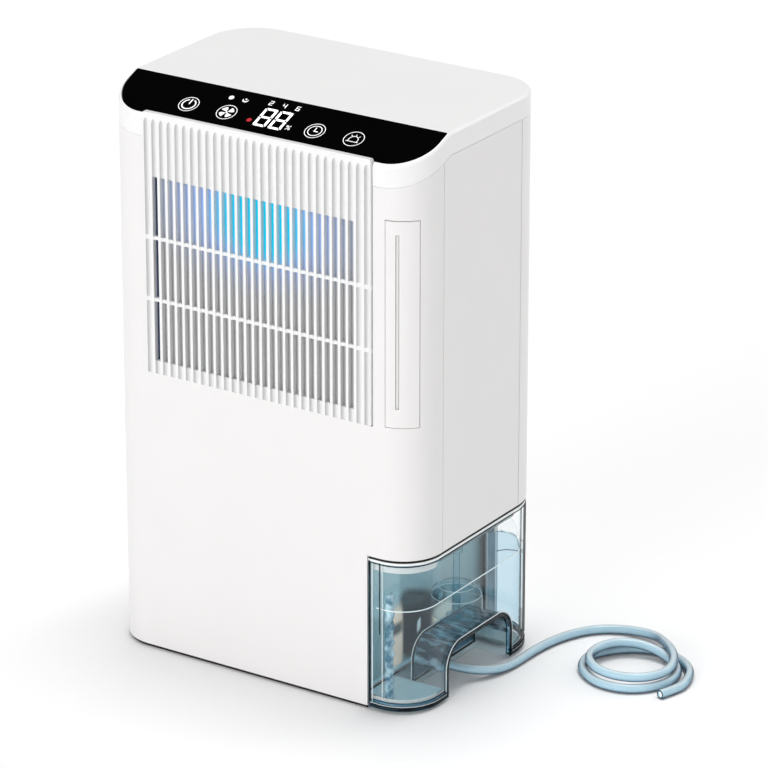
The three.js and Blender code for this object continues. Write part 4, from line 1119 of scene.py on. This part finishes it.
# painted onto the liner as seen through the tank: lighter and greyer tones, a dark core of painted shade and
# reflection, a dark spot, beige painted reflections that glow, a small glowing painted glint, and a glowing cyan band
# along its floor
paint(M["liner_white"], [
    (-44, 82, 18, 30, 0, 0.10, (0.62, 0.82, 0.86), 0.0),
    (54, 62, 30, 60, 0, 0.10, (0.40, 0.52, 0.54), 0.0),
    (-4, 30, 22.5, 25, -0.42, 0.12, (0.012, 0.035, 0.045), 0.0),
    (17, 38, 13, 9, -0.2, 0.25, (0.02, 0.05, 0.06), 0.0),
    (8, 24, 15, 11, -0.2, 0.20, (0.014, 0.04, 0.05), 0.0),
    (-30, 29, 7.5, 23, 0, 0.25, (0.80, 0.66, 0.54), 0.45),
    (-30, 36, 8, 4.0, 0, 0.6, (0.12, 0.14, 0.14), 0.0),
    (26, 24, 12, 10, 0, 0.35, (0.80, 0.68, 0.56), 0.45),
    (-3, 29, 2.2, 4.0, 0.5, 0.35, (0.80, 0.86, 0.86), 0.3),
    (-42, 2, 46, 7.5, 0, 0.20, (0.46, 0.74, 0.82), 0.22),
])

# more dark lines of painted refraction at the tank's corners and rim
dark_lines += [
    bead([(84.7, -77.15, 4), (84.7, -77.15, 105.4)], 0.78, sides=10),
    bead([(91.3, -75.4, 54), (91.3, -75.4, 104)], 0.42, sides=10),
    bead([(77.9, 71.9, 10), (77.9, 71.9, 70.5)], 0.8, sides=10),
    bead([(82.6, 75.6, 66), (82.6, 75.6, 79)], 0.40, sides=10),
    bead([(x, y, 104.2) for x, y in arc_part(0.62, 85)], 0.36, sides=8),
    bead([(78.3, -73.0, 8.0), (78.3, -33, 8.0)], 0.42, sides=8),
]
# a dark line of painted refraction along the tank's right silhouette
k_ = max(arc_part(1.0, 90.0), key=lambda q: q[0] * 0.836 + q[1] * 0.549)
dark_lines.append(bead([(k_[0], k_[1], 9), (k_[0], k_[1], 104)], 0.85, sides=10))
# a painted glint on the tank's rear corner
g_ = max(arc_part(2.6, 90.0), key=lambda q: q[0] * 0.836 + q[1] * 0.549)
highlight_lines.append(bead([(g_[0], g_[1], 11), (g_[0], g_[1] - 0.5, 26)], 0.75, sides=10))
put("tank_dark_refraction_lines", merge(*dark_lines), M["tank_line"], "tank", (), angle=60)
# more painted highlights along the tank's edges
highlight_lines += [
    bead([(86.6, -76.9, 5), (86.6, -76.9, 104)], 0.40, sides=8),
    bead([(93.4, -75.6, 8), (93.4, -75.6, 104)], 0.28, sides=8),
    bead([(80.0, 72.6, 10), (80.0, 72.6, 70)], 0.42, sides=8),
    bead([(84.6, 77.9, 9), (84.6, 77.9, 79)], 0.32, sides=8),
    bead([(78.3, -73.0, 10.2), (78.3, -33, 10.2)], 0.30, sides=8),
    bead([(86.5, -72.0, 8.2), (86.5, -40, 8.2)], 0.30, sides=8),
]
put("tank_edge_highlights", merge(*highlight_lines), M["tank_highlight_white"], "tank", (), angle=60)
# the waterline's white line is a painted highlight
put("tank_waterline", bead([(x, y, WATER_Z) for x, y in arc_part(3.4, 88.0)], 0.36, sides=8), M["meniscus_highlight"], "tank", (), angle=60)


def slab(points, y0, y1):
    """A plate in the xz plane between two y values."""
    return loft([[(x, y0, z) for x, z in points], [(x, y1, z) for x, z in points]])


put("tank_rear_return", slab([(78.4, 8.4), (83.5, 8.4), (83.5, 70.8), (78.4, 70.8)], 74.7, 75.2), M["tank_blue"], "tank", (), angle=40)
top_line = [(84.9, 69.9), (91.7, 71.1), (97.3, 71.4), (100.4, 70.2), (101.8, 66.9), (102.6, 63.1), (105.6, 61.0)]
put("tank_rear_tint", slab([(84.9, 8.4), (105.6, 8.4)] + top_line[::-1], 75.9, 76.4), M["tank_pale"], "tank", (), angle=40)
put("tank_hump_line", bead([(x, 76.2, z) for x, z in top_line], 0.36, sides=8), M["tank_blue"], "tank", (), angle=60)
put("tank_rear_level", bead([(85.2, 76.4, 55.6), (92.4, 76.4, 58.4), (99.3, 76.4, 59.4), (105.6, 76.4, 59.7)], 0.36, sides=8), M["edge_blue"], "tank", (), angle=60)

# the corner post: a wavy bead of painted refraction in dark and pale blue, drawn in the tank's front corner where it is
# seen bent through the wall
post = [(96.4 + 0.5 * math.sin(k * 1.3), -71.6 + 0.5 * math.cos(k * 1.9), 8 + 2.0 * k) for k in range(38)]
put("tank_rear_post", slab([(76.6, 8.5), (86.0, 8.5), (86.0, 70.6), (76.6, 67.0)], 73.0, 73.4), M["tank_rear_blue"], "tank", (), angle=40)
front_foot = clip(cavity_outline(1.0), BAY_X + 5.0, -200, ALCOVE["y0"] - TANK_WALL - 1.0)
# a cyan plate over the front foot's floor that glows: painted light
put("tank_foot_floor", prism(front_foot, 7.9, 8.2), M["tank_cyan_glow"], "tank", (), angle=40)
put("tank_corner_refraction", bead(post, 2.8, sides=14), M["tank_refraction_blue"], "tank", (), angle=60)

# alcove: tinted back wall and a roof painted with light and dark streaks of refraction
back = arch(-0.6, ALCOVE["x"] - 1.5, ALCOVE["x"] - 0.7, 8.2)
put("tank_alcove_back", back, M["tank_shade"], "tank", (), angle=40)
roof = boolean(arch(1.65, ALCOVE["x"] + 0.5, HALF_W - 2.9, 19.0), arch(0.55, ALCOVE["x"] - 2, HALF_W, 0))
put("tank_alcove_roof", roof, M["tank_refraction_streaks"], "tank", (), angle=40)

def ring_path(r, z, n=48):
    return [(98 + r * math.cos(2 * math.pi * k / n), 6 + r * math.sin(2 * math.pi * k / n), z) for k in range(n)]


# painted highlights around the float's outline
put("float_rim_highlights", merge(bead(ring_path(12.4, 60.3), 0.30, True, 8), bead(ring_path(16.7, 54.0), 0.30, True, 8)), M["tank_highlight_white"], "float", (), angle=60)

# dark band in the gap between the casing and the tank, and a dark strip under the casing's edge: painted shade, dark
# pieces put where these gaps sit in shade
put("tank_gap_shade", band(0.45, 1.6, 84.2, 106.85, 108.3), M["rubber"], "casing", (), angle=40)
ring = [p for p in outline(1.5, 32) if p[0] <= 83.0]
start = max(range(len(ring)), key=lambda i: (Vector(ring[i]) - Vector(ring[i - 1])).length)
ring = ring[start:] + ring[:start]
ends = [(83.2, ring[0][1]), (83.2, ring[-1][1])]
path = [ends[0]] + ring + [ends[1]]
inner = [(x * (1 - 1.3 / max(abs(x), 60)), y * (1 - 1.3 / max(abs(y), 60))) for x, y in path]
bm = bmesh.new()
vs = [[bm.verts.new(Vector(q) * MM) for q in ((*a, 0.25), (*c, 0.25), (*c, 2.6), (*a, 2.6))] for a, c in zip(path, inner)]
for a, c in zip(vs, vs[1:]):
    for k in range(4):
        j = (k + 1) % 4
        bm.faces.new((a[k], a[j], c[j], c[k]))
bm.faces.new(list(reversed(vs[0])))
bm.faces.new(vs[-1])
bmesh.ops.recalc_face_normals(bm, faces=bm.faces)
put("base_gap_shade", bm, M["rubber"], "casing", (), angle=40)

# a painted highlight along the tank's top rim
put("tank_rim_highlight", soften(band(0.42, 1.0, 83.9, 105.0, 106.55), 0.2, 2, 40), M["tank_highlight_white"], "tank", (), angle=40)
# a pale band of painted light under the rim at the front
put("tank_lip_light_band", band(2.8, 0.4, 86.0, 98.6, 102.6, ymax=-44), M["tank_light_band"], "tank", (), angle=40)
side_x = HALF_W - 3.3
put("tank_lip_side", prism([(side_x, -46), (side_x + 0.4, -46), (side_x + 0.4, 44), (side_x, 44)], 100.6, 103.0), M["tank_grey"], "tank", (), angle=40)
# a pale band of painted light above the front foot
put("tank_foot_light_band", band(2.7, 0.4, 84.0, 4.8, 9.4, ymax=ALCOVE["y0"] - 6), M["tank_light_band"], "tank", (), angle=40)

# ------------------------------------------------------------------ finishes of the CAD nodes that stay
SLOTS = {p["node"]: p["material_slot"] for p in frame["record"]["subparts"]}
for name, ob in NODES.items():
    if ob.hide_render:
        continue
    mat = M[SLOTS[name]]
    ob.data.materials.clear()
    ob.data.materials.append(mat)

# ------------------------------------------------------------------ floor and light
bm = bmesh.new()
bmesh.ops.create_grid(bm, x_segments=1, y_segments=1, size=7.0)
floor = put("floor", bm, pm("floor_pale", (0.945, 0.945, 0.947), rough=0.7, spec=0.05, var=0.002, scale=3.0, rough_var=0.02), None)

world = bpy.data.worlds.new("studio")
SCENE.world = world
world.use_nodes = True
wt = world.node_tree
wt.nodes["Background"].inputs["Strength"].default_value = 0.61
wc = node(wt, "ShaderNodeTexCoord")
wx = node(wt, "ShaderNodeSeparateXYZ")
wt.links.new(wc.outputs["Generated"], wx.inputs["Vector"])
wr = node(wt, "ShaderNodeMapRange")
for key, v in (("From Min", -1.0), ("From Max", -0.1), ("To Min", 0.45), ("To Max", 1.0)):
    wr.inputs[key].default_value = v
wt.links.new(wx.outputs["X"], wr.inputs["Value"])
wt.links.new(wr.outputs["Result"], wt.nodes["Background"].inputs["Color"])


def sun(name, toward, strength, angle):
    """A very soft distant light; toward points from the object to the light."""
    d = bpy.data.lights.new(name, "SUN")
    d.energy, d.angle = strength, rad(angle)
    o = bpy.data.objects.new(name, d)
    COL.objects.link(o)
    o.rotation_euler = Vector(toward).to_track_quat("Z", "Y").to_euler()
    return o


sun("front", (-0.16, -0.97, 0.16), 0.48 * math.pi, 40)
sun("back", (0.37, 0.78, 0.51), 0.11 * math.pi, 26)
sun("top", (-0.02, 0.12, 1.0), 0.415 * math.pi, 25)

SCENE.cycles.transparent_max_bounces = 40
SCENE.view_settings.view_transform = "Standard"
SCENE.view_settings.look = "None"
SCENE.view_settings.exposure = 0.0
SCENE.view_settings.gamma = 1.0
